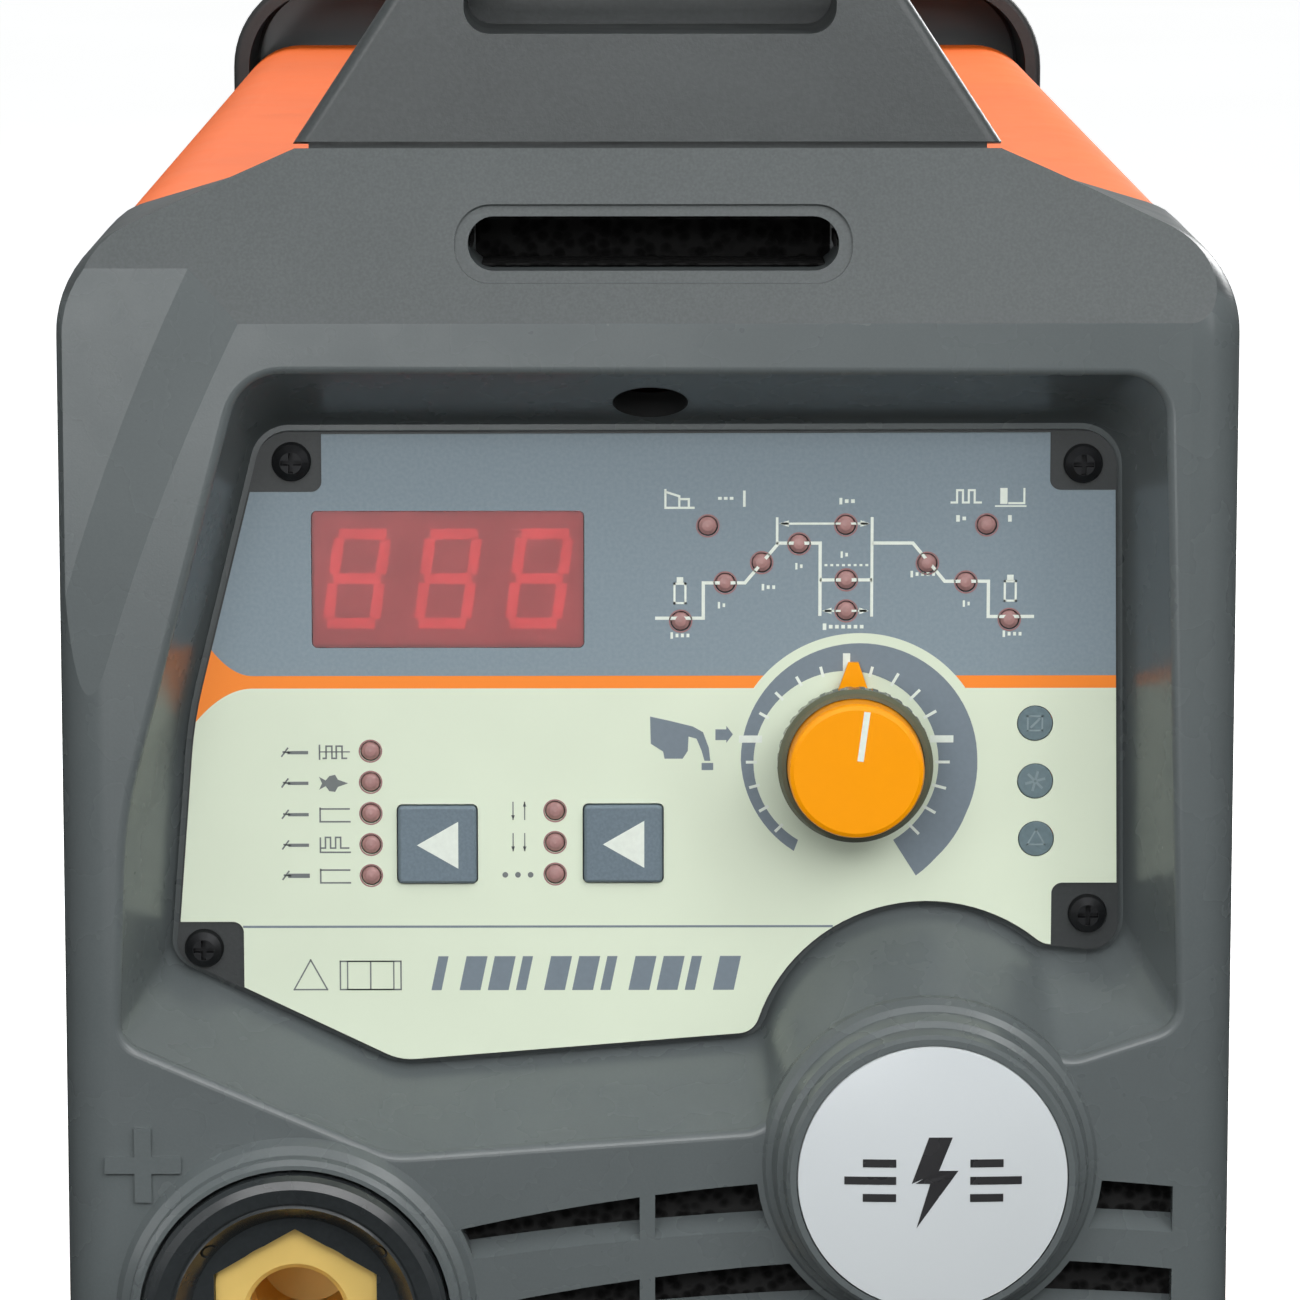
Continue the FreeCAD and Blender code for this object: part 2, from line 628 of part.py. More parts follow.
def led(centre):
    """A small lamp with a domed front, which reaches back to the board."""
    front = PANEL_Y - 0.15
    return turned_y(centre, [(0, front), (LED_RADIUS * 0.6, front + 0.12), (LED_RADIUS, front + 0.5),
                             (LED_RADIUS, PANEL_BACK + 0.4), (LED_RADIUS + 0.3, PANEL_BACK + 0.4),
                             (LED_RADIUS + 0.3, BOARD_Y), (0, BOARD_Y)])


def status_lamp(centre):
    """A flat round lamp."""
    return turned_y(centre, [(0, PANEL_Y - 0.05), (2.3, PANEL_Y - 0.05), (2.4, PANEL_Y + 0.05),
                             (2.4, PANEL_BACK + 0.3), (1.8, PANEL_BACK + 0.3), (1.8, BOARD_Y),
                             (0, BOARD_Y)])


def key_cap(centre):
    """A square push button, held behind the panel by its flange."""
    half = KEY_SIZE / 2
    cap = prism(box_corners(centre[0] - half, centre[0] + half, centre[1] - half, centre[1] + half, 0.6),
                PANEL_Y - 0.9, PANEL_BACK + 0.4)
    front = [edge for edge in cap.Edges if abs(edge.BoundBox.YMax - (PANEL_Y - 0.9)) < 1e-6]
    cap = cap.makeChamfer(0.35, front)
    half += 0.9
    flange = block(centre[0] - half, centre[0] + half, PANEL_BACK + 0.4, PANEL_BACK + 1.2,
                   centre[1] - half, centre[1] + half)
    return join([cap, flange, rod_y(centre, 1.5, PANEL_BACK + 1, BOARD_Y - 3.0 - KEY_TRAVEL)])


def key_switch(centre):
    """A tactile switch on the board behind a key."""
    body = block(centre[0] - 3, centre[0] + 3, BOARD_Y - 2.6, BOARD_Y, centre[1] - 3, centre[1] + 3)
    return body.cut(rod_y(centre, 1.9, BOARD_Y - 3, BOARD_Y - 1.2))


def control_board():
    """The circuit board behind the panel."""
    corners = [(-51.0, 191.5, 2), (55.5, 191.5, 2), (55.5, 137.5, 2), (16.0, 137.5, 2),
               (6.0, 134.0, 2), (-55.5, 134.0, 2)]
    board = prism(corners, BOARD_Y, BOARD_Y + 1.6)
    chips = [block(x - 5, x + 5, BOARD_Y + 1.5, BOARD_Y + 3.6, z - 4, z + 4)
             for x, z in ((-30, 180), (0, 180), (30, 180), (-10, 160))]
    plugs = [block(x - 9, x + 9, BOARD_Y + 1.5, BOARD_Y + 10, 138, 144) for x in (-36, -8)]
    board = join([board] + chips + plugs)
    return board.cut([rod_y(spacer, 1.6, BOARD_Y - 1, BOARD_Y + 5) for spacer in BOARD_SPACERS])


BOARD_SPACERS = ((-50.0, 137.5), (51.5, 187.5), (12.5, 140.5), (-3.5, 187.0))


def board_spacer(centre):
    """A hexagonal stand-off between the plate and the board, with its screw through the board."""
    spacer = hex_y(centre, 5.0, PANEL_BACK, BOARD_Y)
    screw = turned_y(centre, [(0, BOARD_Y - 1), (1.5, BOARD_Y - 1), (1.5, BOARD_Y + 1.6),
                              (2.7, BOARD_Y + 1.6), (2.5, BOARD_Y + 3.2), (0, BOARD_Y + 3.4)])
    return join([spacer, screw])


def display_window():
    """The tinted lens over the display."""
    left, right, low, high = DISPLAY
    corners = grown(box_corners(left, right, low, high, 0.8), -0.1)
    return prism(corners, PANEL_Y - 0.02, PANEL_Y + 1.1)


def display_module():
    """The three-digit display behind the lens, soldered to the board."""
    left, right, low, high = DISPLAY
    corners = grown(box_corners(left, right, low, high, 0.6), -0.3)
    module = prism(corners, PANEL_Y + 1.3, BOARD_Y)
    digits = []
    pitch = (right - left) / 3
    for place in range(3):
        middle = left + pitch * (place + 0.5)
        digits += digit_grooves(middle, (low + high) / 2, PANEL_Y + 1.3)
    return module.cut(digits)


def digit_grooves(x, z, y):
    """The seven bar-shaped grooves of one digit, which leans to the right."""
    grooves = []
    half_wide = 3.1
    half_high = 6.1
    bar = 0.55
    lean = math.tan(math.radians(8))
    for level in (-1, 0, 1):
        shift = level * half_high * lean
        grooves.append(((x + shift - half_wide + 0.9, z + level * half_high),
                        (x + shift + half_wide - 0.9, z + level * half_high)))
    for side in (-1, 1):
        for level in (-1, 1):
            near = 0.9 * level
            far = (half_high - 0.9) * level
            grooves.append(((x + side * half_wide + near * lean, z + near),
                            (x + side * half_wide + far * lean, z + far)))
    result = []
    for (xa, za), (xb, zb) in grooves:
        along = Vector(xb - xa, 0, zb - za).normalize() * bar
        across = Vector(-along.z, 0, along.x)
        start = Vector(xa, y - 0.1, za)
        end = Vector(xb, y - 0.1, zb)
        points = [start - along, start + across, end + across, end + along, end - across, start - across]
        face = Part.Face(Part.makePolygon(points + points[:1]))
        result.append(face.extrude(Vector(0, 0.5, 0)))
    return result


# ---------------------------------------------------------------- encoder and knob
def encoder_body():
    """The encoder's case with its threaded bush."""
    x, z = KNOB
    case = block(x - 6.2, x + 6.2, PANEL_BACK + 0.15, BOARD_Y, z - 6.2, z + 6.2)
    bush = rod_y(KNOB, 3.5, 11.6, PANEL_BACK + 0.5)
    body = case.fuse(bush)
    return body.cut([rod_y(KNOB, 3.05, 5, 21), rod_y(KNOB, 4.8, 19.2, 23.6)])


def encoder_nut():
    """The nut that holds the encoder to the panel."""
    nut = hex_y(KNOB, 10.0, PANEL_Y - 2.2, PANEL_Y)
    return nut.cut(rod_y(KNOB, 3.55, 10, 20))


def encoder_shaft():
    """The turning shaft; its flange sits in the encoder's case."""
    shaft = turned_y(KNOB, [(0, 4.2), (2.6, 4.2), (3.0, 4.7), (3.0, 19.9), (4.5, 19.9), (4.5, 20.9),
                            (0, 20.9)])
    flat = block(KNOB[0] - 4, KNOB[0] + 4, 4, 10.4, KNOB[1] + 2.0, KNOB[1] + 4)
    return shaft.cut(flat)


def encoder_plunger():
    """The piece behind the shaft that closes the push contact."""
    return turned_y(KNOB, [(0, 21.0), (2.4, 21.0), (2.4, 22.4), (1.2, 22.9), (0, 22.9)])


SKIRT_REAR = PANEL_Y - 1.2


def knob_skirt():
    """The fluted lower part of the knob, which narrows towards the panel."""
    rear = SKIRT_REAR
    outer = 10.6
    body = turned_y(KNOB, [(9.45, 5.4), (outer - 0.5, 5.4), (outer, 6.0), (outer, 8.4), (8.9, rear),
                           (7.6, rear), (7.6, 12.2), (5.0, 12.2), (5.0, 10.8), (3.01, 10.8), (3.01, 3.9),
                           (5.0, 3.9), (5.0, 7.2), (9.45, 7.2)])
    flutes = []
    count = 36
    for place in range(count):
        angle = 2 * math.pi * place / count
        centre = (KNOB[0] + (outer + 0.25) * math.cos(angle), KNOB[1] + (outer + 0.25) * math.sin(angle))
        flutes.append(rod_y(centre, 0.6, 6.6, rear + 1))
    body = body.cut(flutes)
    key = block(KNOB[0] - 2.2, KNOB[0] + 2.2, 4.2, 10.3, KNOB[1] + 2.05, KNOB[1] + 4)
    return join([body, key])


def knob_cap():
    """The coloured cap that clips into the skirt."""
    return turned_y(KNOB, [(0, 1.6), (8.5, 1.6), (9.05, 1.85), (9.25, 2.4), (9.35, 6.9), (5.2, 6.9),
                           (5.2, 3.5), (0, 3.5)])


def knob_pointer():
    """The arrow behind the skirt, which points at the scale."""
    x, z = KNOB
    points = [Vector(x - 2.45, SKIRT_REAR, z + 7.8), Vector(x - 0.7, SKIRT_REAR, z + 12.8),
              Vector(x + 0.7, SKIRT_REAR, z + 12.8), Vector(x + 2.45, SKIRT_REAR, z + 7.8)]
    return Part.Face(Part.makePolygon(points + points[:1])).extrude(Vector(0, 0.6, 0))


# ---------------------------------------------------------------- badge, sockets and front fittings
def badge_disc():
    """The slightly domed disc on the turret."""
    dome = [(0, -9.4)]
    edge = DISC_RADIUS - 0.1
    for step in range(1, 9):
        radius = edge * step / 8
        dome.append((radius, -9.4 + 1.0 * (radius / edge) ** 2))
    return turned_y(BADGE, dome + [(DISC_RADIUS, -8.1), (DISC_RADIUS, -7.0), (0, -7.0)])


def socket_flange(centre):
    """The insulating ring of an output socket; its neck goes through the bezel."""
    outer = FLANGE_RADIUS
    body = turned_y(centre, [(11.2, -3.2), (14.4, -3.6), (16.6, -6.9), (16.95, -6.6), (17.3, -6.9),
                             (19.3, -7.3), (20.4, -6.8), (outer, -5.6), (outer, 0),
                             (SOCKET_NECK_RADIUS, 0), (SOCKET_NECK_RADIUS, 11.0), (11.2, 11.0)])
    pocket = hex_y(centre, SOCKET_HEX + 0.2, -12, 4.0)
    marks = []
    for angle in (0.72, 2.42):
        spot = (centre[0] + 15.4 * math.cos(angle), centre[1] + 15.4 * math.sin(angle))
        marks.append(ring_y(spot, 1.15, 0.8, -12, -4.4))
    body = body.cut([pocket] + marks)
    floor = ring_y(centre, SOCKET_NECK_RADIUS - 1, 10.15, 4.0, 8.0)
    return join([body, floor])


def socket_body(centre):
    """The brass body: a hexagonal mouth, the bore for the cable plug, and a threaded stud."""
    face = -1.5
    hexagon = hex_y(centre, SOCKET_HEX, face, 4.0)
    chamfer = turned_y(centre, [(0, face - 1), (12.2, face - 1), (12.2, face), (12.8, face + 0.4),
                                (12.8, 4.0), (0, 4.0)])
    shank = turned_y(centre, [(0, 3.9), (10.0, 3.9), (10.0, 34.0), (5.0, 34.0), (5.0, 52.0), (4.4, 52.6),
                              (0, 52.6)])
    body = join([hexagon.common(chamfer), shank])
    mouth = turned_y(centre, [(0, face - 0.1), (SOCKET_BORE_RADIUS + 0.75, face - 0.1),
                              (SOCKET_BORE_RADIUS, face + 0.7),
                              (SOCKET_BORE_RADIUS, face + SOCKET_BORE_DEPTH),
                              (0, face + SOCKET_BORE_DEPTH + 2)])
    keyway = block(centre[0] - 2.1, centre[0] + 2.1, face - 1, face + 11, centre[1] - 8.4, centre[1])
    ledge = ring_y(centre, 8.4, 2, face + 11, face + 17)
    return body.cut([mouth, keyway, ledge])


def socket_nuts(centre):
    """The nut and washer that clamp the brass body, and the nut that clamps the flange."""
    big = hex_y(centre, 38.0, FRONT_WALL + 4.1, FRONT_WALL + 7.4)
    big = big.cut(rod_y(centre, SOCKET_NECK_RADIUS + 0.05, 0, 20))
    small = hex_y(centre, 17.0, 36.2, 42.2).cut(rod_y(centre, 5.05, 30, 50))
    washer = ring_y(centre, 10.0, 5.2, 34.0, 36.0)
    return [big, small, washer]


def gas_outlet_fitting():
    """The brass outlet for the torch's gas hose; it has a plain spigot and a hexagon."""
    spigot = [(1.8, FRONT_TIP), (3.6, FRONT_TIP), (4.0, FRONT_TIP + 0.5), (4.0, -7.0), (5.8, -7.0),
              (6.5, -6.3), (6.5, 24.0), (4.0, 24.0), (4.0, 40.0), (1.8, 40.0)]
    body = turned_y(GAS_OUTLET, spigot)
    collar = hex_y(GAS_OUTLET, 17.0, -6.0, -1.6).cut(rod_y(GAS_OUTLET, 6, -10, 5))
    return join([body, collar])


def panel_nut(centre, across_flats, bore, y0, y1):
    """A plain hexagonal nut."""
    return hex_y(centre, across_flats, y0, y1).cut(rod_y(centre, bore, y0 - 1, y1 + 1))


def control_socket_shell():
    """The metal shell of the torch control socket."""
    return turned_y(CONTROL_SOCKET, [(6.6, -9.0), (7.6, -9.0), (7.95, -8.6), (7.95, -2.4), (10.5, -2.4),
                                     (10.5, -1.6), (8.0, -1.6), (8.0, 13.0), (6.6, 13.0)])


def control_socket_insert():
    """The insulating insert, with a hole for each contact."""
    insert = rod_y(CONTROL_SOCKET, 6.55, -6.0, 15.0)
    key = block(CONTROL_SOCKET[0] - 0.9, CONTROL_SOCKET[0] + 0.9, -7, -2, CONTROL_SOCKET[1] + 5.5,
                CONTROL_SOCKET[1] + 8)
    return insert.cut([key] + [rod_y(pin, 0.66, -8, 20) for pin in contact_places()])


def contact_places():
    """Where the five contacts of the control socket stand."""
    places = [CONTROL_SOCKET]
    for corner in range(4):
        angle = math.pi / 4 + corner * math.pi / 2
        places.append((CONTROL_SOCKET[0] + 3.6 * math.cos(angle), CONTROL_SOCKET[1] + 3.6 * math.sin(angle)))
    return places


# ---------------------------------------------------------------- housing
def case_cover():
    """The folded steel cover over the top and both sides, with punched vents."""
    y0 = FRONT_DEPTH - LIP_OVERLAP + 0.5
    y1 = REAR_START + LIP_OVERLAP
    inner = [(x, z - (5 if z < 100 else 0), radius) for x, z, radius in grown(COVER_OUTLINE, -COVER_THICK)]
    sheet = prism(COVER_OUTLINE, y0, y1).cut(prism(inner, y0 - 1, y1 + 1))
    vents = []
    for start in (78.0, 268.0):
        for column in range(7):
            y = start + column * 12.0
            for z0, z1 in ((60.0, 96.0), (104.0, 140.0)):
                slot = Part.makeBox(200, 4.4, z1 - z0, Vector(-100, y, z0))
                vents.append(slot)
    for y in COVER_SCREW_Y:
        vents.append(rod_x(y, COVER_SCREW_Z, 2.2, -100, 100))
    return sheet.cut(vents)


COVER_SCREW_Y = (64.0, 212.0, 360.0)
COVER_SCREW_Z = 24.0
FOOT_Y = (62.0, 358.0)
FOOT_X = 60.0


def base_plate():
    """The steel floor pan; its flanges carry the cover's screws."""
    half = COVER_HALF - COVER_THICK - 0.3
    y0 = 8.0
    y1 = REAR_PLATE_Y - 0.3
    narrow = half - 8.0
    pan = block(-narrow, narrow, y0, y1, BASE_Z, BASE_Z + BASE_THICK)
    flanges = [block(-half, half, FRONT_DEPTH + 1, REAR_START - 1, BASE_Z, BASE_Z + BASE_THICK)]
    for side in (-1, 1):
        x0, x1 = sorted((side * half, side * (half - BASE_THICK)))
        flanges.append(block(x0, x1, 52, 378, BASE_Z, 34))
    pan = join([pan] + flanges)
    holes = []
    for y in COVER_SCREW_Y:
        holes.append(rod_x(y, COVER_SCREW_Z, 1.95, -100, 100))
    for x in (-FOOT_X, FOOT_X):
        for y in FOOT_Y:
            holes.append(rod_z(x, y, 2.6, 0, 30))
    for x in (-BEZEL_SCREW_X, BEZEL_SCREW_X):
        holes.append(rod_z(x, BEZEL_SCREW_Y, 2.1, 0, 30))
        holes.append(rod_z(x, REAR_START + 15, 2.1, 0, 30))
    for x, y in STANDOFFS:
        holes.append(rod_z(x, y, 2.1, 0, 30))
    for x in range(-48, 49, 16):
        for y in range(110, 331, 10):
            if min(math.hypot(x - sx, y - sy) for sx, sy in STANDOFFS) > 9:
                holes.append(block(x - 5, x + 5, y - 2, y + 2, 10, 18))
    return pan.cut(holes)


STANDOFFS = ((-62.0, 96.0), (62.0, 96.0), (-62.0, 332.0), (62.0, 332.0))


def rear_bezel():
    """The plastic frame at the back."""
    outline = [(-REAR_HALF, REAR_TOP, REAR_RADIUS), (REAR_HALF, REAR_TOP, REAR_RADIUS),
               (REAR_HALF, BOTTOM, FOOT_RADIUS), (-REAR_HALF, BOTTOM, FOOT_RADIUS)]
    body = prism(outline, REAR_START, BODY_LENGTH)
    back = [edge for edge in body.Edges if edge.BoundBox.YMin > BODY_LENGTH - 1e-6]
    body = body.makeFillet(5.0, back)
    front = [edge for edge in body.Edges if edge.BoundBox.YMax < REAR_START + 1e-6]
    body = body.makeFillet(1.2, front)
    body = body.cut(prism(grown(outline, -WALL), REAR_START - 1, REAR_PLATE_Y + REAR_PLATE_THICK + 0.1))
    rabbet = prism(grown(COVER_OUTLINE, FIT), REAR_START - 1, REAR_START + LIP_OVERLAP + 0.5)
    opening = prism([(-70.5, 229.0, 9), (70.5, 229.0, 9), (70.5, 19.5, 6), (-70.5, 19.5, 6)],
                    REAR_START, BODY_LENGTH + 5)
    cuts = [rabbet, opening]
    for x in HANDLE_BOLT_X:
        cuts.append(rod_z(x, HANDLE_BOLT_REAR_Y, 2.75, 230, 250))
    for x in (-BEZEL_SCREW_X, BEZEL_SCREW_X):
        cuts.append(rod_z(x, REAR_START + 15, 2.1, 5, 14))
    return body.cut(cuts)


def rear_plate():
    """The steel plate inside the rear frame, with its openings."""
    plate = prism([(-75.8, 239.3, 14.5), (75.8, 239.3, 14.5), (75.8, 15.2, 5), (-75.8, 15.2, 5)],
                  REAR_PLATE_Y, REAR_PLATE_Y + REAR_PLATE_THICK)
    cuts = [rod_y(FAN, FAN_SIZE / 2 - 3.5, 400, 430),
            prism(box_corners(ROCKER[0] - 13.6, ROCKER[0] + 13.6, ROCKER[1] - 10.9, ROCKER[1] + 10.9, 0.3),
                  400, 430),
            rod_y(GLAND, 8.1, 400, 430), rod_y(GAS_INLET, 6.6, 400, 430), rod_y(EARTH, 3.1, 400, 430)]
    for place in fan_screw_places():
        cuts.append(rod_y(place, 2.2, 400, 430))
    return plate.cut(cuts)


EARTH = (60.0, 160.0)


def fan_screw_places():
    """The four fixing holes of the fan, on a square."""
    offset = 52.5
    return [(FAN[0] + sx * offset, FAN[1] + sz * offset) for sx in (-1, 1) for sz in (-1, 1)]


def rubber_foot(x, y):
    """A tapered foot with a pocket for its screw."""
    return turned_z(x, y, [(6.0, 0), (11.0, 0), (12.0, 1.0), (13.4, BASE_Z), (2.6, BASE_Z), (2.6, 5.0),
                           (6.0, 5.0)])


# ---------------------------------------------------------------- handle
def handle_shape():
    """The arch: what its side, front and plan outlines have in common."""
    side = [(HANDLE_FRONT, HANDLE_FOOT, 0), (HANDLE_FRONT + 2.5, 278, 24),
            (HANDLE_FRONT + 26, HANDLE_TOP, 22), (HANDLE_REAR - 24, HANDLE_TOP, 22),
            (HANDLE_REAR - 1, 272, 20), (HANDLE_REAR, HANDLE_FOOT, 0), (HANDLE_REAR - 27, HANDLE_FOOT, 0),
            (HANDLE_REAR - 30, BAR_UNDER, 16), (64.0, BAR_UNDER, 18), (45.0, 252.0, 14),
            (44.5, HANDLE_FOOT, 0)]
    wire = rounded_path([Vector(-FOOT_SPREAD, y, z) for y, z, _ in side], [radius for _, _, radius in side])
    arch = Part.Face(wire).extrude(Vector(2 * FOOT_SPREAD, 0, 0))
    spread = TOWER_HALF + (240.0 - HANDLE_FOOT) * TOWER_SLOPE
    narrow_z = 240.0 + (TOWER_HALF - BAR_HALF) / TOWER_SLOPE
    front = prism([(-BAR_HALF, HANDLE_TOP + 5, 0), (BAR_HALF, HANDLE_TOP + 5, 0), (BAR_HALF, narrow_z, 30),
                   (spread, HANDLE_FOOT, 0), (-spread, HANDLE_FOOT, 0), (-BAR_HALF, narrow_z, 30)],
                  0, HANDLE_REAR + 18)
    left_side = [(-FOOT_SPREAD, 0, 0), (-FOOT_SPREAD, 30, 18), (-BAR_HALF, 84, 30), (-BAR_HALF, 345, 30),
                 (-FOOT_SPREAD, 398, 18), (-FOOT_SPREAD, HANDLE_REAR + 18, 0)]
    right_side = [(-x, y, radius) for x, y, radius in reversed(left_side)]
    plan = left_side + right_side
    points = [Vector(x, y, HANDLE_FOOT - 10) for x, y, _ in plan]
    wire = rounded_path(points, [radius for _, _, radius in plan])
    above = Part.Face(wire).extrude(Vector(0, 0, HANDLE_TOP - HANDLE_FOOT + 20))
    return arch.common(front).common(above)


def handle_shell():
    """The plastic arch, hollow in its two towers, with a pocket through the front tower's face."""
    body = handle_shape()
    fall = (FRONT_TOP - FRONT_TOP_BACK) / FRONT_DEPTH
    lean = math.degrees(math.atan(fall))
    seat = block(-80, 80, -60, 110, -60, 0)
    seat.rotate(Vector(0, 0, 0), SIDEWAYS, -lean)
    seat.translate(Vector(0, 0, FRONT_TOP + SHADOW_GAP))
    body = body.cut([seat, block(-80, 80, 300, 430, 200, REAR_TOP + SHADOW_GAP)])
    rounded = round_handle(body)
    window = prism([(-24.8, 267.5, 3.5), (25.4, 267.5, 3.5), (25.4, 255.2, 3.5), (-24.8, 255.2, 3.5)],
                   5, HANDLE_FRONT + 23)
    front_room = tower_room(HANDLE_FRONT + 6.0, 41.0, 30.0, 251.5)
    rear_room = tower_room(389.5, 407.0, 34.0, 268.0)
    rounded = rounded.cut([window, front_room, rear_room])
    feet = []
    for x in HANDLE_BOLT_X:
        z_front = FRONT_TOP - fall * HANDLE_BOLT_FRONT_Y
        foot = rod_z(x, HANDLE_BOLT_FRONT_Y, 7.0, z_front - 4, 254.0)
        lower = seat.translated(Vector(0, 0, -SHADOW_GAP))
        feet.append(foot.cut(lower))
        feet.append(rod_z(x, HANDLE_BOLT_REAR_Y, 6.0, REAR_TOP, 270.0))
    plinth = block(PLINTH[0], PLINTH[1], PLINTH[2], PLINTH[3], 230, 243)
    plinth = plinth.cut([seat.translated(Vector(0, 0, -SHADOW_GAP)), front_room])
    body = rounded.fuse(feet + [plinth]).removeSplitter()
    holes = []
    for x in HANDLE_BOLT_X:
        holes.append(rod_z(x, HANDLE_BOLT_FRONT_Y, 2.55, 230, 250.5))
        holes.append(rod_z(x, HANDLE_BOLT_REAR_Y, 2.55, 230, 262))
    return max(body.cut(holes).Solids, key=lambda solid: solid.Volume)


def round_handle(body):
    """Soften the long edges of the handle."""
    edges = []
    for edge in body.Edges:
        box = edge.BoundBox
        if box.ZMax > 246 and edge.Length > 3 and box.XLength <= 30:
            edges.append(edge)
    return body.makeFillet(EDGE_SOFTENING, edges)


def tower_room(y0, y1, foot_half, top):
    """The hollow under a tower, narrowing with height."""
    z0 = 232.0
    narrow = foot_half - (top - 245.0) * TOWER_SLOPE
    return prism([(-foot_half, 245.0, 0), (-narrow, top, 2), (narrow, top, 2), (foot_half, 245.0, 0),
                  (foot_half, z0, 0), (-foot_half, z0, 0)], y0, y1)


def handle_grip():
    """The rubber sleeve round the bar, with ribs under the fingers."""
    y0 = 118.0
    y1 = 306.0
    outer = [(-BAR_HALF - 1.6, HANDLE_TOP + 1.4, 6), (BAR_HALF + 1.6, HANDLE_TOP + 1.4, 6),
             (BAR_HALF + 1.6, BAR_UNDER - 2.0, 6), (-BAR_HALF - 1.6, BAR_UNDER - 2.0, 6)]
    sleeve = prism(outer, y0, y1)
    ends = [edge for edge in sleeve.Edges if edge.BoundBox.YLength < 1e-6]
    sleeve = sleeve.makeFillet(1.2, ends)
    ribs = []
    for place in range(12):
        y = y0 + 12 + place * 15.0
        ribs.append(rod_x(y, BAR_UNDER - 3.6, 3.2, -30, 30))
    return sleeve.cut(ribs)


# ---------------------------------------------------------------- rear fittings
def fan_frame():
    """The square fan housing, with its motor hub on struts."""
    half = FAN_SIZE / 2
    y0 = REAR_PLATE_Y - FAN_DEPTH
    y1 = REAR_PLATE_Y
    frame = prism(box_corners(FAN[0] - half, FAN[0] + half, FAN[1] - half, FAN[1] + half, 5), y0, y1)
    frame = frame.cut(rod_y(FAN, half - 2.5, y0 - 1, y1 + 1))
    waist = prism(box_corners(FAN[0] - half - 1, FAN[0] + half + 1, FAN[1] - half - 1, FAN[1] + half + 1, 5),
                  y0 + 4, y1 - 4).cut(rod_y(FAN, half + 0.5, y0, y1))
    corners = [rod_y(place, 5.5, y0 + 3, y1 - 3) for place in fan_screw_places()]
    frame = frame.cut(waist.cut(corners))
    struts = [rod_y(FAN, 19.0, y0, y0 + 4)]
    for turn in range(3):
        strut = block(FAN[0] + 10, FAN[0] + half - 1, y0, y0 + 4, FAN[1] - 2.5, FAN[1] + 2.5)
        strut.rotate(Vector(FAN[0], 0, FAN[1]), FORWARD, 40 + turn * 120)
        struts.append(strut)
    pin = rod_y(FAN, 2.0, y0 + 3, y0 + 26)
    frame = join([frame] + struts + [pin])
    return frame.cut([rod_y(place, 2.2, y0 - 1, y1 + 1) for place in fan_screw_places()])


def fan_rotor():
    """The hub and its blades, running on the pin of the frame."""
    y0 = REAR_PLATE_Y - FAN_DEPTH + 5.0
    y1 = REAR_PLATE_Y - 4.0
    hub = turned_y(FAN, [(2.05, y0 + 1), (19.5, y0 + 1), (19.5, y0), (21.5, y0), (21.5, y1 - 1.5), (20.0, y1),
                         (0, y1), (0, y0 + 22.0), (2.05, y0 + 22.0)])
    blades = []
    for turn in range(7):
        wires = []
        for radius, twist in ((20.5, 42.0), (38.0, 32.0), (54.5, 25.0)):
            centre = Vector(FAN[0] + radius, (y0 + y1) / 2, FAN[1])
            chord = 15.0 + radius * 0.28
            angle = math.radians(twist)
            half_y = min(chord * math.sin(angle) / 2 + 3.0, (y1 - y0) / 2 - 1.5)
            half_z = chord * math.cos(angle) / 2
            thick = 0.9
            points = [centre + Vector(0, -half_y, -half_z), centre + Vector(0, thick * 2.2, thick * 1.2),
                      centre + Vector(0, half_y, half_z), centre + Vector(0, -thick * 0.2, thick * 2.4)]
            wires.append(Part.makePolygon(points + points[:1]))
        blade = Part.makeLoft(wires, True, True)
        blade.rotate(Vector(FAN[0], 0, FAN[1]), FORWARD, turn * 360 / 7)
        blades.append(blade)
    return join([hub] + blades)


def fan_guard():
    """The wire guard outside the rear plate: rings on four spokes that end in eyes."""
    y = REAR_PLATE_Y + REAR_PLATE_THICK
    wire = 0.9
    rings = []
    for radius in (14.0, 23.0, 32.0, 41.0, 50.0, 58.5):
        rings.append(Part.makeTorus(radius, wire, Vector(FAN[0], y + 3.0, FAN[1]), FORWARD))
    parts = rings
    centre = Vector(FAN[0], y + 1.7, FAN[1])
    for x, z in fan_screw_places():
        end = Vector(x, y + 1.7, z)
        direction = (end - centre).normalize()
        start = centre + direction * 13.5
        run = end - start
        parts.append(Part.makeCylinder(wire, run.Length - 3.95, start, direction))
        parts.append(ring_y((x, z), 4.2, 2.3, y, y + 2.2))
    return join(parts)


def fan_screw(place):
    """A long screw through guard, plate and fan, with its nut at the far end."""
    seat = REAR_PLATE_Y + REAR_PLATE_THICK + 2.2
    length = FAN_DEPTH + 8.0
    screw = pan_screw_y((0, 0), 0, 2.0, 3.9, 2.8, length)
    screw.rotate(Vector(0, 0, 0), UP, 180)
    screw.translate(Vector(place[0], seat, place[1]))
    y_nut = REAR_PLATE_Y - FAN_DEPTH
    nut = hex_y(place, 7.0, y_nut - 3.2, y_nut).cut(rod_y(place, 2.02, y_nut - 5, y_nut + 2))
    return [screw, nut]


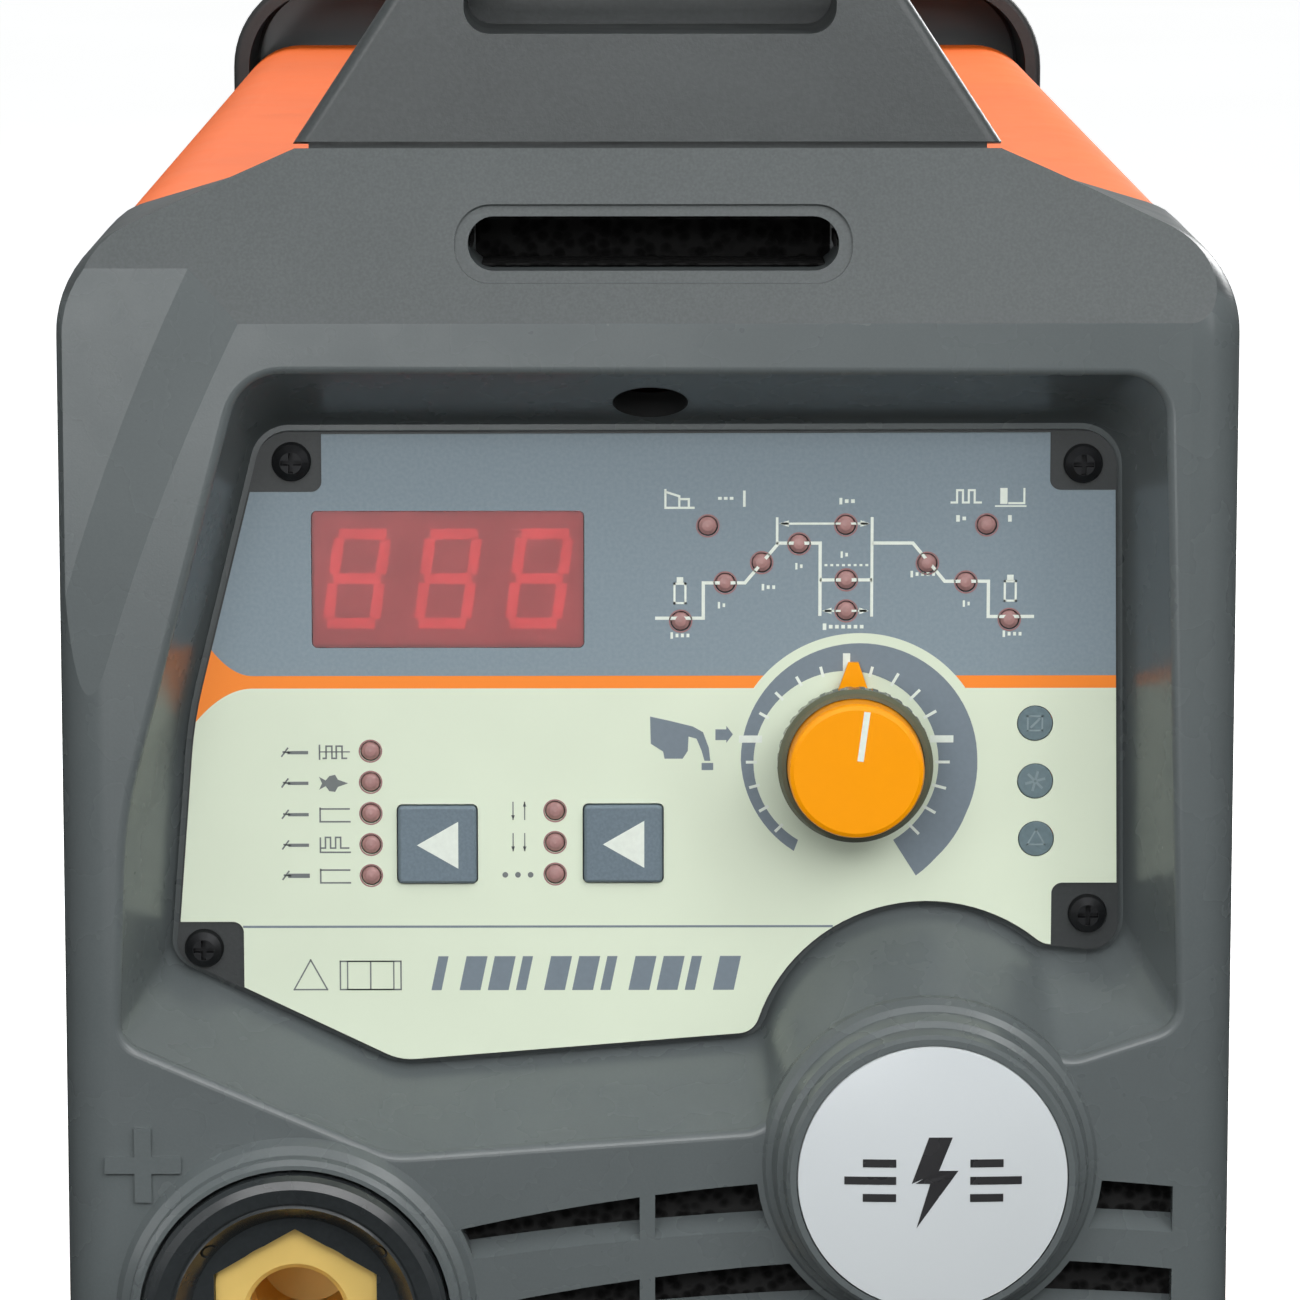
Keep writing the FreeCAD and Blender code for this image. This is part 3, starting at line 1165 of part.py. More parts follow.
def power_switch_body():
    """The mains switch: its bezel outside the plate and its case inside."""
    x, z = ROCKER
    y = REAR_PLATE_Y + REAR_PLATE_THICK
    rim = prism(box_corners(x - 15.5, x + 15.5, z - 12.8, z + 12.8, 2), y, y + 2.2)
    rear = [edge for edge in rim.Edges if edge.BoundBox.YMin > y + 2.2 - 1e-6]
    rim = rim.makeFillet(1.0, rear)
    case = block(x - 13.4, x + 13.4, y - 26, y + 0.5, z - 10.7, z + 10.7)
    tabs = [block(x - 0.4, x + 0.4, y - 36, y - 25, z + dz - 3.2, z + dz + 3.2) for dz in (-6.5, 6.5)]
    body = join([rim, case] + tabs)
    well = block(x - 11.2, x + 11.2, y - 15, y + 5, z - 9.2, z + 9.2)
    return body.cut(well)


ROCKER_TILT = 11.0
ROCKER_AXIS_Y = REAR_PLATE_Y + REAR_PLATE_THICK - 4.0


def power_switch_rocker():
    """The rocking key, at rest with its lower half pressed in; it turns about an axis along X."""
    x, z = ROCKER
    axis = Vector(x, ROCKER_AXIS_Y, z)
    points = [Vector(x - 10.9, ROCKER_AXIS_Y - 3.0, z - 6.0), Vector(x - 10.9, ROCKER_AXIS_Y + 6.6, z - 7.8),
              Vector(x - 10.9, ROCKER_AXIS_Y + 5.2, z), Vector(x - 10.9, ROCKER_AXIS_Y + 6.6, z + 7.8),
              Vector(x - 10.9, ROCKER_AXIS_Y - 3.0, z + 6.0)]
    edges = [Part.LineSegment(points[0], points[1]).toShape(),
             Part.Arc(points[1], points[2], points[3]).toShape(),
             Part.LineSegment(points[3], points[4]).toShape(),
             Part.LineSegment(points[4], points[0]).toShape()]
    rocker = Part.Face(Part.Wire(edges)).extrude(Vector(21.8, 0, 0))
    rocker.rotate(axis, SIDEWAYS, ROCKER_TILT)
    return rocker


def gland_body():
    """The cable gland of the mains lead: its thread, hexagon and domed clamping nut."""
    y = REAR_PLATE_Y + REAR_PLATE_THICK
    thread = turned_y(GLAND, [(GLAND_BORE, y - 12), (8.0, y - 12), (8.0, y), (10.6, y), (10.6, y + 1.2),
                              (9.8, y + 1.2), (9.8, y + 8.2), (GLAND_BORE, y + 8.2)])
    hexagon = hex_y(GLAND, 22.0, y + 1.2, y + 7.0).cut(rod_y(GLAND, 9, y, y + 10))
    return join([thread, hexagon])


def gland_cap():
    """The domed nut of the cable gland."""
    y = REAR_PLATE_Y + REAR_PLATE_THICK + 8.4
    dome = turned_y(GLAND, [(GLAND_BORE, y), (10.8, y), (10.8, y + 6.0), (9.6, REAR_TIP - 4.2),
                            (7.4, REAR_TIP - 0.6), (6.6, REAR_TIP), (GLAND_BORE, REAR_TIP)])
    flats = []
    for side in range(6):
        flat = block(GLAND[0] - 12, GLAND[0] + 12, y - 1, y + 6, GLAND[1] + 10.1, GLAND[1] + 14)
        flat.rotate(Vector(GLAND[0], 0, GLAND[1]), FORWARD, side * 60)
        flats.append(flat)
    return dome.cut(flats)


def gas_inlet_fitting():
    """The brass gas inlet: a hose spigot with barbs outside and a spigot inside."""
    y = REAR_PLATE_Y + REAR_PLATE_THICK
    profile = [(2.2, y - 24), (4.0, y - 24), (4.0, y - 14), (6.5, y - 14), (6.5, y + 6.4), (4.2, y + 6.4),
               (4.2, REAR_TIP - 13), (4.2, REAR_TIP), (3.4, REAR_TIP), (2.2, REAR_TIP)]
    body = turned_y(GAS_INLET, profile)
    collar = hex_y(GAS_INLET, 17.0, y, y + 5.0).cut(rod_y(GAS_INLET, 6, y - 1, y + 7))
    return join([body, collar])


def earth_stud():
    """The earth bolt with its washer and nut."""
    y = REAR_PLATE_Y + REAR_PLATE_THICK
    shank = rod_y(EARTH, 3.0, REAR_PLATE_Y - 2, y + 14)
    bolt = join([shank, hex_y(EARTH, 10.0, REAR_PLATE_Y - 4, REAR_PLATE_Y)])
    washer = ring_y(EARTH, 6.2, 3.1, y, y + 1.4)
    nut = panel_nut(EARTH, 10.0, 3.05, y + 1.4, y + 6.4)
    return [bolt, washer, nut]


# ---------------------------------------------------------------- inside
BOARD_Z = 42.0
BOARD_TOP = BOARD_Z + 2.0


def main_board():
    """The power board on its stand-offs."""
    board = block(-68, 68, 88, 360, BOARD_Z, BOARD_TOP)
    holes = [rod_z(x, y, 2.1, BOARD_Z - 1, BOARD_TOP + 1) for x, y in STANDOFFS]
    sockets = [block(x - 10, x + 10, 344, 356, BOARD_TOP - 0.2, BOARD_TOP + 12) for x in (-30, 0, 30)]
    relays = [block(x - 8, x + 8, 326, 341, BOARD_TOP - 0.2, BOARD_TOP + 16) for x in (-30, 0, 30)]
    return join([board] + sockets + relays).cut(holes)


def board_standoff(x, y):
    """A pillar under the power board, screwed through the floor, with a screw on top."""
    pillar = Part.makeCylinder(4.0, BOARD_Z - BASE_Z - BASE_THICK, Vector(x, y, BASE_Z + BASE_THICK), UP)
    lower = rod_z(x, y, 2.0, BASE_Z - 0.1, BASE_Z + BASE_THICK + 1)
    lower_head = rod_z(x, y, 3.8, BASE_Z - 2.4, BASE_Z)
    upper = rod_z(x, y, 2.0, BOARD_Z - 1, BOARD_TOP + 0.1)
    upper_head = rod_z(x, y, 3.8, BOARD_TOP, BOARD_TOP + 2.4)
    return join([pillar, lower, lower_head, upper, upper_head])


def heat_sink(x0, x1):
    """A finned block that stands along the air stream."""
    z0 = BOARD_TOP + 0.2
    base = block(x0, x1, 196, 320, z0 + 34, z0 + 41)
    fins = []
    count = 9
    pitch = (x1 - x0 - 1.8) / (count - 1)
    for place in range(count):
        x = x0 + place * pitch
        fins.append(block(x, x + 1.8, 196, 320, z0 + 6, z0 + 35))
    feet = [block(x0, x0 + 5, 196, 320, z0, z0 + 8), block(x1 - 5, x1, 196, 320, z0, z0 + 8)]
    return join([base] + fins + feet)


def capacitor(x, y):
    """An upright electrolytic capacitor with a grooved sleeve."""
    z0 = BOARD_TOP
    return turned_z(x, y, [(0, z0), (14.5, z0), (15.0, z0 + 0.8), (15.0, z0 + 3.0), (14.2, z0 + 4.2),
                           (15.0, z0 + 5.4), (15.0, z0 + 49.0), (14.2, z0 + 50.0), (12.0, z0 + 50.0),
                           (12.0, z0 + 49.4), (0, z0 + 49.4)])


TRANSFORMER = (0.0, 258.0, 140.0)


def transformer_core():
    """The ferrite core: an outer frame and a middle leg."""
    x, y, z = TRANSFORMER
    frame = block(x - 35, x + 35, y - 16, y + 16, z - 36, z + 36)
    windows = [block(x - 24, x - 9, y - 20, y + 20, z - 25, z + 25),
               block(x + 9, x + 24, y - 20, y + 20, z - 25, z + 25)]
    return frame.cut(windows)


def transformer_winding():
    """The winding round the core's middle leg."""
    x, y, z = TRANSFORMER
    outer = block(x - 22, x + 22, y - 29, y + 29, z - 23, z + 23)
    outer = outer.makeFillet(8, [edge for edge in outer.Edges if edge.BoundBox.ZLength > 40])
    grooves = []
    for place in range(7):
        level = z - 18 + place * 6
        groove = block(x - 40, x + 40, y - 40, y + 40, level - 0.5, level + 0.5)
        inner = block(x - 21.2, x + 21.2, y - 28.2, y + 28.2, level - 1, level + 1)
        grooves.append(groove.cut(inner))
    return outer.cut([block(x - 9.2, x + 9.2, y - 16.2, y + 16.2, z - 40, z + 40)] + grooves)


def transformer_feet():
    """Brackets that carry the transformer on the heat sinks."""
    x, y, z = TRANSFORMER
    low = BOARD_TOP + 0.2 + 41.0
    return [block(x0, x0 + 9, y - 14, y + 14, low, z - 36) for x0 in (x - 35, x + 26)]


INDUCTOR = (-34.0, 140.0, 152.0)


def output_inductor():
    """The ring-shaped choke: a wound core with visible turns."""
    x, y, z = INDUCTOR
    core = Part.makeTorus(22.0, 9.0, Vector(x, y, z), FORWARD)
    grooves = []
    for turn in range(20):
        angle = turn * 2 * math.pi / 20
        spot = Vector(x + 22 * math.cos(angle), y, z + 22 * math.sin(angle))
        direction = Vector(-math.sin(angle), 0, math.cos(angle))
        outer = Part.makeCylinder(12, 0.9, spot - direction * 0.45, direction)
        inner = Part.makeCylinder(8.4, 3, spot - direction * 1.5, direction)
        grooves.append(outer.cut(inner))
    return core.cut(grooves)


def inductor_bracket():
    """The shelf under the choke, standing on the power board."""
    x, y, z = INDUCTOR
    saddle = block(x - 16, x + 16, y - 11, y + 11, 100, z - 24)
    saddle = saddle.cut(Part.makeTorus(22.0, 9.3, Vector(x, y, z), FORWARD))
    legs = [block(x + dx - 3, x + dx + 3, y - 11, y + 11, BOARD_TOP, 101) for dx in (-13, 13)]
    return join([saddle] + legs)


HF_COIL = (36.0, 140.0, 150.0)


def hf_coil():
    """The arc-striking coil: a bobbin with two flanges and a wound middle."""
    x, y, z = HF_COIL
    profile = [(6, z - 26), (22, z - 26), (22, z - 23), (18, z - 23)]
    for turn in range(7):
        low = z - 23 + turn * 6.5
        profile += [(18.6, low + 1.2), (18.6, low + 5.2), (18.0, low + 6.4)]
    profile += [(18, z + 23), (22, z + 23), (22, z + 26), (6, z + 26)]
    return turned_z(x, y, profile)


def hf_post():
    """The post that holds the arc-striking coil above the power board."""
    x, y, z = HF_COIL
    return join([rod_z(x, y, 5.9, BOARD_TOP, z + 30), rod_z(x, y, 12, z - 30, z - 26)])


def strap(points, wide, thick):
    """A flat copper strap, in straight runs from front to back or up and down."""
    runs = []
    for first, second in zip(points, points[1:]):
        y0, y1 = sorted((first[1], second[1]))
        z0, z1 = sorted((first[2], second[2]))
        x0 = first[0] - wide / 2
        runs.append(block(x0, x0 + wide, y0 - thick / 2, y1 + thick / 2, z0 - thick / 2, z1 + thick / 2))
    return join(runs)


STRAP_END_Y = 94.0


def bus_bars():
    """Copper straps from the output sockets back to the power board."""
    plus_x, plus_z = PLUS_SOCKET
    minus_x, minus_z = MINUS_SOCKET
    y = 43.6
    plus = strap([(plus_x, y, plus_z + 9), (plus_x, y, plus_z - 31),
                  (plus_x, STRAP_END_Y - 1, plus_z - 31)], 14, 2)
    plus = plus.cut(rod_y(PLUS_SOCKET, 5.2, 35, 60))
    minus = strap([(minus_x, y, minus_z - 9), (minus_x, y, minus_z + 16),
                   (minus_x, STRAP_END_Y - 1, minus_z + 16)], 14, 2)
    minus = minus.cut(rod_y(MINUS_SOCKET, 5.2, 35, 60))
    feet = [block(x - 7, x + 7, STRAP_END_Y - 6, STRAP_END_Y, BOARD_TOP, top)
            for x, top in ((plus_x, plus_z - 31), (minus_x, minus_z + 16))]
    return [join([plus, feet[0]]), join([minus, feet[1]])]


def socket_end_nut(centre):
    """The nut that clamps a strap on the socket's stud."""
    return panel_nut(centre, 17.0, 5.05, 44.6, 50.6)


VALVE = (0.0, 350.0, 182.0)


def gas_valve():
    """The solenoid valve: brass body and coil in one bought-in unit, on the inlet's line."""
    x, y, z = VALVE
    body = block(x - 14, x + 14, y - 16, y + 16, z - 12, z + 12)
    coil = block(x - 16, x + 16, y - 17, y + 17, z + 13, z + 38)
    coil = coil.makeFillet(3, coil.Edges)
    neck = rod_z(x, y, 8, z + 11, z + 14)
    tip = rod_z(x, y, 5, z + 37, z + 42)
    ports = [rod_y((x, z), 4.0, y + 15, y + 26), rod_y((x, z), 4.0, y - 26, y - 15)]
    return join([body, coil, neck, tip] + ports)


def valve_bracket():
    """A steel angle that holds the valve to the rear plate."""
    x, y, z = VALVE
    shelf = block(x - 12, x + 12, y - 14, REAR_PLATE_Y, z - 14, z - 12)
    tab = block(x - 12, x + 12, REAR_PLATE_Y - 2, REAR_PLATE_Y, z - 26, z - 12)
    return join([shelf, tab])


def tube_run(points, bend, outer, inner):
    """A hose of straight runs joined by tangent arcs."""
    edges = []
    last = points[0]
    for index in range(1, len(points) - 1):
        entry, middle, leave = corner_arc(points[index - 1], points[index], points[index + 1], bend)
        edges.append(Part.LineSegment(last, entry).toShape())
        edges.append(Part.Arc(entry, middle, leave).toShape())
        last = leave
    edges.append(Part.LineSegment(last, points[-1]).toShape())
    path = Part.Wire(edges)
    direction = (points[1] - points[0]).normalize()
    walls = []
    for radius in (outer, inner):
        circle = Part.Wire(Part.makeCircle(radius, points[0], direction))
        walls.append(path.makePipeShell([circle], True, True))
    return walls[0].cut(walls[1])


def gas_hoses():
    """The hose from the inlet to the valve and the one from the valve to the outlet."""
    x, y, z = VALVE
    inlet_end = REAR_PLATE_Y + REAR_PLATE_THICK - 24
    short = ring_y((x, z), 5.6, 4.05, y + 17, inlet_end + 9)
    gas_x, gas_z = GAS_OUTLET
    route = [Vector(x, y - 17, z), Vector(x, y - 70, z), Vector(-66, y - 110, z), Vector(-66, 110, z - 6),
             Vector(-66, 84, 60), Vector(-66, 68, gas_z), Vector(gas_x, 58, gas_z), Vector(gas_x, 26, gas_z)]
    return [short, tube_run(route, 14.0, 5.6, 4.05)]


# ---------------------------------------------------------------- write every piece
handle = handle_shell()
save("front_bezel", front_bezel())
save("rear_bezel", rear_bezel())
save("case_cover", case_cover())
save("base_plate", base_plate())
save("rear_plate", rear_plate())
save("rubber_feet", [rubber_foot(x, y) for x in (-FOOT_X, FOOT_X) for y in FOOT_Y])
save("foot_screws", [pan_screw_z(x, y, 5.0, 2.5, 4.6, 3.0, 14) for x in (-FOOT_X, FOOT_X) for y in FOOT_Y])
save("handle_shell", handle)
save("handle_grip", handle_grip().cut(handle))
save("handle_bolts", [pan_screw_z(x, HANDLE_BOLT_FRONT_Y, 235.0, 2.5, 4.6, 3.0, 14) for x in HANDLE_BOLT_X]
     + [pan_screw_z(x, HANDLE_BOLT_REAR_Y, REAR_TOP - WALL, 2.5, 4.6, 3.0, 20) for x in HANDLE_BOLT_X])
side_screws = []
for screw_y in COVER_SCREW_Y:
    for side in (-1, 1):
        screw = pan_screw_y((0, 0), 0, 1.9, 3.8, 2.4, 8)
        screw.rotate(Vector(0, 0, 0), UP, 90 if side > 0 else -90)
        screw.translate(Vector(side * COVER_HALF, screw_y, COVER_SCREW_Z))
        side_screws.append(screw)
save("cover_screws", side_screws)
save("bezel_screws", [pan_screw_z(x, y, BOTTOM, 2.0, 3.9, 2.6, 9) for x in (-BEZEL_SCREW_X, BEZEL_SCREW_X)
                      for y in (BEZEL_SCREW_Y, REAR_START + 15)])
save("panel_plate", panel_plate())
save("panel_overlay", panel_overlay())
save("panel_screws", [pan_screw_y(screw, PANEL_Y + OVERLAY_THICK, 1.2, 2.7, 1.9, 8.0)
                      for screw in PANEL_SCREWS])
save("display_window", display_window())
save("display_module", display_module())
save("led_indicators", [led(centre) for centre in LEDS])
save("status_lamps", [status_lamp(centre) for centre in LAMPS])
save("process_key", key_cap(PROCESS_KEY))
save("trigger_mode_key", key_cap(TRIGGER_KEY))
save("key_switches", [key_switch(centre) for centre in (PROCESS_KEY, TRIGGER_KEY)])
save("control_board", control_board())
save("encoder_body", encoder_body())
save("encoder_shaft", encoder_shaft())
save("encoder_plunger", encoder_plunger())
save("knob_skirt", knob_skirt())
save("knob_cap", [knob_cap(), knob_pointer()])
save("badge_disc", badge_disc())
save("positive_socket_flange", socket_flange(PLUS_SOCKET))
save("negative_socket_flange", socket_flange(MINUS_SOCKET))
save("positive_socket_body", socket_body(PLUS_SOCKET))
save("negative_socket_body", socket_body(MINUS_SOCKET))
save("socket_nuts", socket_nuts(PLUS_SOCKET) + socket_nuts(MINUS_SOCKET)
     + [socket_end_nut(PLUS_SOCKET), socket_end_nut(MINUS_SOCKET)])
save("gas_outlet_fitting", gas_outlet_fitting())
save("gas_inlet_fitting", gas_inlet_fitting())
save("fitting_nuts", [panel_nut(GAS_OUTLET, 17.0, 6.55, FRONT_WALL, FRONT_WALL + 5),
                      panel_nut(GAS_INLET, 17.0, 6.55, REAR_PLATE_Y - 5, REAR_PLATE_Y),
                      panel_nut(CONTROL_SOCKET, 20.0, 8.05, FRONT_WALL, FRONT_WALL + 3.5),
                      panel_nut(GLAND, 22.0, 8.05, REAR_PLATE_Y - 5, REAR_PLATE_Y), encoder_nut()])
save("control_socket_shell", control_socket_shell())
save("control_socket_insert", control_socket_insert())
save("control_socket_pins", [rod_y(place, 0.6, -3.5, 20.0) for place in contact_places()])
save("fan_frame", fan_frame())
save("fan_rotor", fan_rotor())
save("fan_guard", fan_guard())
fan_screws = []
for place in fan_screw_places():
    fan_screws += fan_screw(place)
save("fan_screws", fan_screws)
save("power_switch_body", power_switch_body())
save("power_switch_rocker", power_switch_rocker())
save("cable_gland_body", gland_body())
save("cable_gland_cap", gland_cap())
save("earth_stud", earth_stud())
save("main_board", main_board())
save("board_standoffs", [board_standoff(x, y) for x, y in STANDOFFS]
     + [board_spacer(centre) for centre in BOARD_SPACERS])
save("heat_sinks", [heat_sink(-62, -4), heat_sink(4, 62)])
save("bulk_capacitors", [capacitor(x, y) for x in (-42, 42) for y in (110, 172)])
save("transformer_core", [transformer_core()] + transformer_feet())
save("transformer_winding", transformer_winding())
save("output_inductor", [output_inductor(), inductor_bracket()])
save("hf_coil", [hf_coil(), hf_post()])
save("bus_bars", bus_bars())
save("gas_valve", [gas_valve(), valve_bracket()])
save("gas_hoses", gas_hoses())
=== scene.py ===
import json
import math

import bmesh
import bpy
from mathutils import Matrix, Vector


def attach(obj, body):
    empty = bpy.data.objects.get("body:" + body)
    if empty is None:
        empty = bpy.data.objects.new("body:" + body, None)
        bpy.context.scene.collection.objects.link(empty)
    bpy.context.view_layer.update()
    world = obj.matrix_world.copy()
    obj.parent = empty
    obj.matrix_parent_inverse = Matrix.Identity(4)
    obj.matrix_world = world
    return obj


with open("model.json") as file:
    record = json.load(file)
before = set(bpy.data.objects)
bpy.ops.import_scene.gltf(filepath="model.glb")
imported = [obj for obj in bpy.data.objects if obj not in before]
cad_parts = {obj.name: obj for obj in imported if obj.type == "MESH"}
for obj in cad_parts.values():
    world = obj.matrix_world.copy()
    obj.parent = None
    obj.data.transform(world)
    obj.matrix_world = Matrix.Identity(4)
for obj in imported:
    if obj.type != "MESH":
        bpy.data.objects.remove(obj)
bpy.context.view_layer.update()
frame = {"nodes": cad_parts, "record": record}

NODES = frame["nodes"]

# TIG welding machine: materials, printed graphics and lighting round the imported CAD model.
# Places are in millimetres: x to the right, depth back from the front bezel's face, z up.
MM = 0.001
FRONT_FACE = -210.0    # where the front bezel's face lies along y
FILM = 16.0            # depth of the printed film's front
PRINT = 0.03           # thickness of an ink layer

# a noise texture stays mostly between these two values
NOISE_LOW = 0.3
NOISE_HIGH = 0.7


def place(x, depth, z):
    """A point of the part's frame, in metres."""
    return Vector((x * MM, (FRONT_FACE + depth) * MM, z * MM))


# ---------------------------------------------------------------- materials
class Surface:
    """A material whose node tree is built in short calls."""

    def __init__(self, name):
        self.material = bpy.data.materials.new(name)
        self.material.use_nodes = True
        self.tree = self.material.node_tree
        self.tree.nodes.clear()
        output = self.add("ShaderNodeOutputMaterial")
        self.shader = self.add("ShaderNodeBsdfPrincipled")
        self.join(self.shader.outputs["BSDF"], output.inputs["Surface"])
        self.where = self.add("ShaderNodeTexCoord").outputs["Object"]

    def add(self, kind):
        return self.tree.nodes.new(kind)

    def join(self, source, target):
        self.tree.links.new(source, target)

    def feed(self, socket, value):
        """Link an output to a socket, or set the socket to a plain value."""
        if isinstance(value, bpy.types.NodeSocket):
            self.join(value, socket)
        else:
            socket.default_value = value

    def set(self, name, value):
        self.feed(self.shader.inputs[name], value)

    def calc(self, operation, first, second=0.0):
        node = self.add("ShaderNodeMath")
        node.operation = operation
        self.feed(node.inputs[0], first)
        self.feed(node.inputs[1], second)
        return node.outputs[0]

    def axes(self):
        """The place's three coordinates in millimetres."""
        node = self.add("ShaderNodeSeparateXYZ")
        self.join(self.where, node.inputs[0])
        return [self.calc("MULTIPLY", output, 1 / MM) for output in node.outputs]

    def squared(self, value, centre):
        """The square of a coordinate's distance from a centre."""
        offset = self.calc("SUBTRACT", value, centre)
        return self.calc("MULTIPLY", offset, offset)

    def reach(self, first, second, centre):
        """The distance of two coordinates from a centre."""
        squares = self.calc("ADD", self.squared(first, centre[0]), self.squared(second, centre[1]))
        return self.calc("SQRT", squares)

    def stretched(self, scale):
        """The place, with each axis multiplied by its own factor."""
        node = self.add("ShaderNodeMapping")
        self.join(self.where, node.inputs["Vector"])
        node.inputs["Scale"].default_value = scale
        return node.outputs["Vector"]

    def noise(self, size, detail=2.0, where=None):
        """Soft noise whose lumps are about size millimetres across."""
        node = self.add("ShaderNodeTexNoise")
        self.join(where or self.where, node.inputs["Vector"])
        node.inputs["Scale"].default_value = 1 / (size * MM)
        node.inputs["Detail"].default_value = detail
        return node.outputs["Fac"]

    def cells(self, size):
        """Distance from the middles of cells about size millimetres across."""
        node = self.add("ShaderNodeTexVoronoi")
        self.join(self.where, node.inputs["Vector"])
        node.inputs["Scale"].default_value = 1 / (size * MM)
        return node.outputs["Distance"]

    def span(self, value, low, high, to_low, to_high):
        """A value's range from low to high, carried over to another range."""
        node = self.add("ShaderNodeMapRange")
        self.feed(node.inputs["Value"], value)
        for name, number in (("From Min", low), ("From Max", high), ("To Min", to_low), ("To Max", to_high)):
            self.feed(node.inputs[name], number)
        return node.outputs["Result"]

    def spread(self, noise, to_low=0.0, to_high=1.0):
        """Noise stretched over a whole range."""
        return self.span(noise, NOISE_LOW, NOISE_HIGH, to_low, to_high)

    def mix(self, share, first, second):
        """A colour between two colours."""
        node = self.add("ShaderNodeMix")
        node.data_type = "RGBA"
        self.feed(node.inputs["Factor"], share)
        self.feed(node.inputs[6], first)
        self.feed(node.inputs[7], second)
        return node.outputs[2]

    def bump(self, height, strength, distance):
        """A relief whose full height is distance millimetres."""
        node = self.add("ShaderNodeBump")
        node.inputs["Strength"].default_value = strength
        node.inputs["Distance"].default_value = distance * MM
        self.join(height, node.inputs["Height"])
        return node.outputs["Normal"]

    def shine(self, middle, spread, size):
        """A roughness that wanders a little over the surface."""
        self.set("Roughness", self.spread(self.noise(size, 3.0), middle - spread, middle + spread))


def rgb(red, green, blue):
    return (red, green, blue, 1.0)


def scaled(colour, factor):
    return rgb(colour[0] * factor, colour[1] * factor, colour[2] * factor)


CLOUD_SIZE = 22.0              # size of the soft clouds in moulded plastic
SPECK_RANGE = (0.35, 0.68)     # noise values over which the specks fade in


def moulded(name, colour, roughness, grain=0.35, relief=0.05, mottle=0.08, specular=0.5, fleck=0.35):
    """Moulded plastic with a spark-eroded grain; sizes in millimetres, the rest as shares."""
    s = Surface(name)
    cloud = s.spread(s.noise(CLOUD_SIZE, 4.0))
    speck = s.noise(grain * 1.6, 2.0)
    tone = s.mix(cloud, scaled(colour, 1 - mottle), scaled(colour, 1 + mottle))
    tone = s.mix(s.span(speck, *SPECK_RANGE, 0.0, fleck), tone, scaled(colour, 1.45))
    s.set("Base Color", tone)
    s.shine(roughness, 0.06, 9.0)
    s.set("Specular IOR Level", specular)
    s.set("Normal", s.bump(s.noise(grain, 3.0), 0.6, relief))
    return s.material


LEANING = (0.28, 0.36)         # how far up a face points where the painted shade and the rougher finish come in
UPPER_FACE = (214.0, 216.0)    # heights over which it comes in
# the wall of the round hole over the panel gets a near-black painted shade between its foot and head heights
HOLE = (0.3, 10.5)             # axis of the round hole over the panel, across and back
HOLE_RADIUS = 5.0
HOLE_FOOT = (196.0, 197.0)
HOLE_HEAD = (221.0, 222.0)


def moulded_front(name, colour, upper_shade_colour):
    """The front moulding.

    Its leaning upper face is a little rougher and gets a darker copy of the colour as painted shade, and the
    wall of the hole over the panel gets a near-black painted shade.
    """
    s = Surface(name)
    x, y, z = s.axes()
    facing = s.add("ShaderNodeSeparateXYZ")
    s.join(s.add("ShaderNodeTexCoord").outputs["Normal"], facing.inputs[0])
    upper = s.span(facing.outputs["Z"], *LEANING, 0.0, 1.0)
    upper = s.calc("MULTIPLY", upper, s.span(z, *UPPER_FACE, 0.0, 1.0))
    # painted shade: the hole's wall is darkened nearly to black and made matt
    from_axis = s.reach(x, y, (HOLE[0], FRONT_FACE + HOLE[1]))
    hole = s.calc("MULTIPLY", s.span(from_axis, HOLE_RADIUS + 0.1, HOLE_RADIUS + 0.2, 1.0, 0.0),
                  s.calc("MULTIPLY", s.span(z, *HOLE_FOOT, 0.0, 1.0), s.span(z, *HOLE_HEAD, 1.0, 0.0)))
    cloud = s.spread(s.noise(CLOUD_SIZE, 4.0))
    plain = s.mix(cloud, scaled(colour, 0.96), scaled(colour, 1.05))
    # painted shade: a darker copy of the moulding's colour for the leaning upper face
    shaded_upper = s.mix(cloud, scaled(upper_shade_colour, 0.95), scaled(upper_shade_colour, 1.06))
    speck = s.span(s.noise(0.4, 2.0), *SPECK_RANGE, 0.0, 0.18)
    tone = s.mix(speck, s.mix(upper, plain, shaded_upper), scaled(colour, 1.3))
    s.set("Base Color", s.mix(hole, tone, scaled(colour, 0.03)))
    worn = s.calc("ADD", s.spread(s.noise(9.0, 3.0), 0.24, 0.30), s.span(upper, 0.0, 1.0, 0.0, 0.12))
    s.set("Roughness", s.calc("ADD", worn, s.span(hole, 0.0, 1.0, 0.0, 0.6)))
    s.set("Specular IOR Level", 0.45)
    s.set("Normal", s.bump(s.noise(0.32, 2.0), 0.6, 0.018))
    return s.material


def foam(name, colour):
    """Open-cell foam, used for the near-black sheets of painted shade."""
    s = Surface(name)
    pore = s.span(s.cells(1.6), 0.25, 0.6, 0.0, 1.0)
    s.set("Base Color", s.mix(pore, scaled(colour, 0.4), scaled(colour, 1.6)))
    s.set("Roughness", s.span(pore, 0.0, 1.0, 0.95, 0.8))
    s.set("Specular IOR Level", 0.15)
    s.set("Normal", s.bump(pore, 0.7, 0.6))
    return s.material


def painted(name, colour, roughness, coat, peel=1.6):
    """Sprayed or powder-coated steel with a little orange peel."""
    s = Surface(name)
    s.set("Base Color", s.mix(s.spread(s.noise(60.0, 3.0)), scaled(colour, 0.95), scaled(colour, 1.05)))
    s.shine(roughness, 0.04, 14.0)
    s.set("Coat Weight", coat)
    s.set("Coat Roughness", 0.08)
    s.set("Normal", s.bump(s.noise(peel, 2.0), 0.25, 0.03))
    return s.material


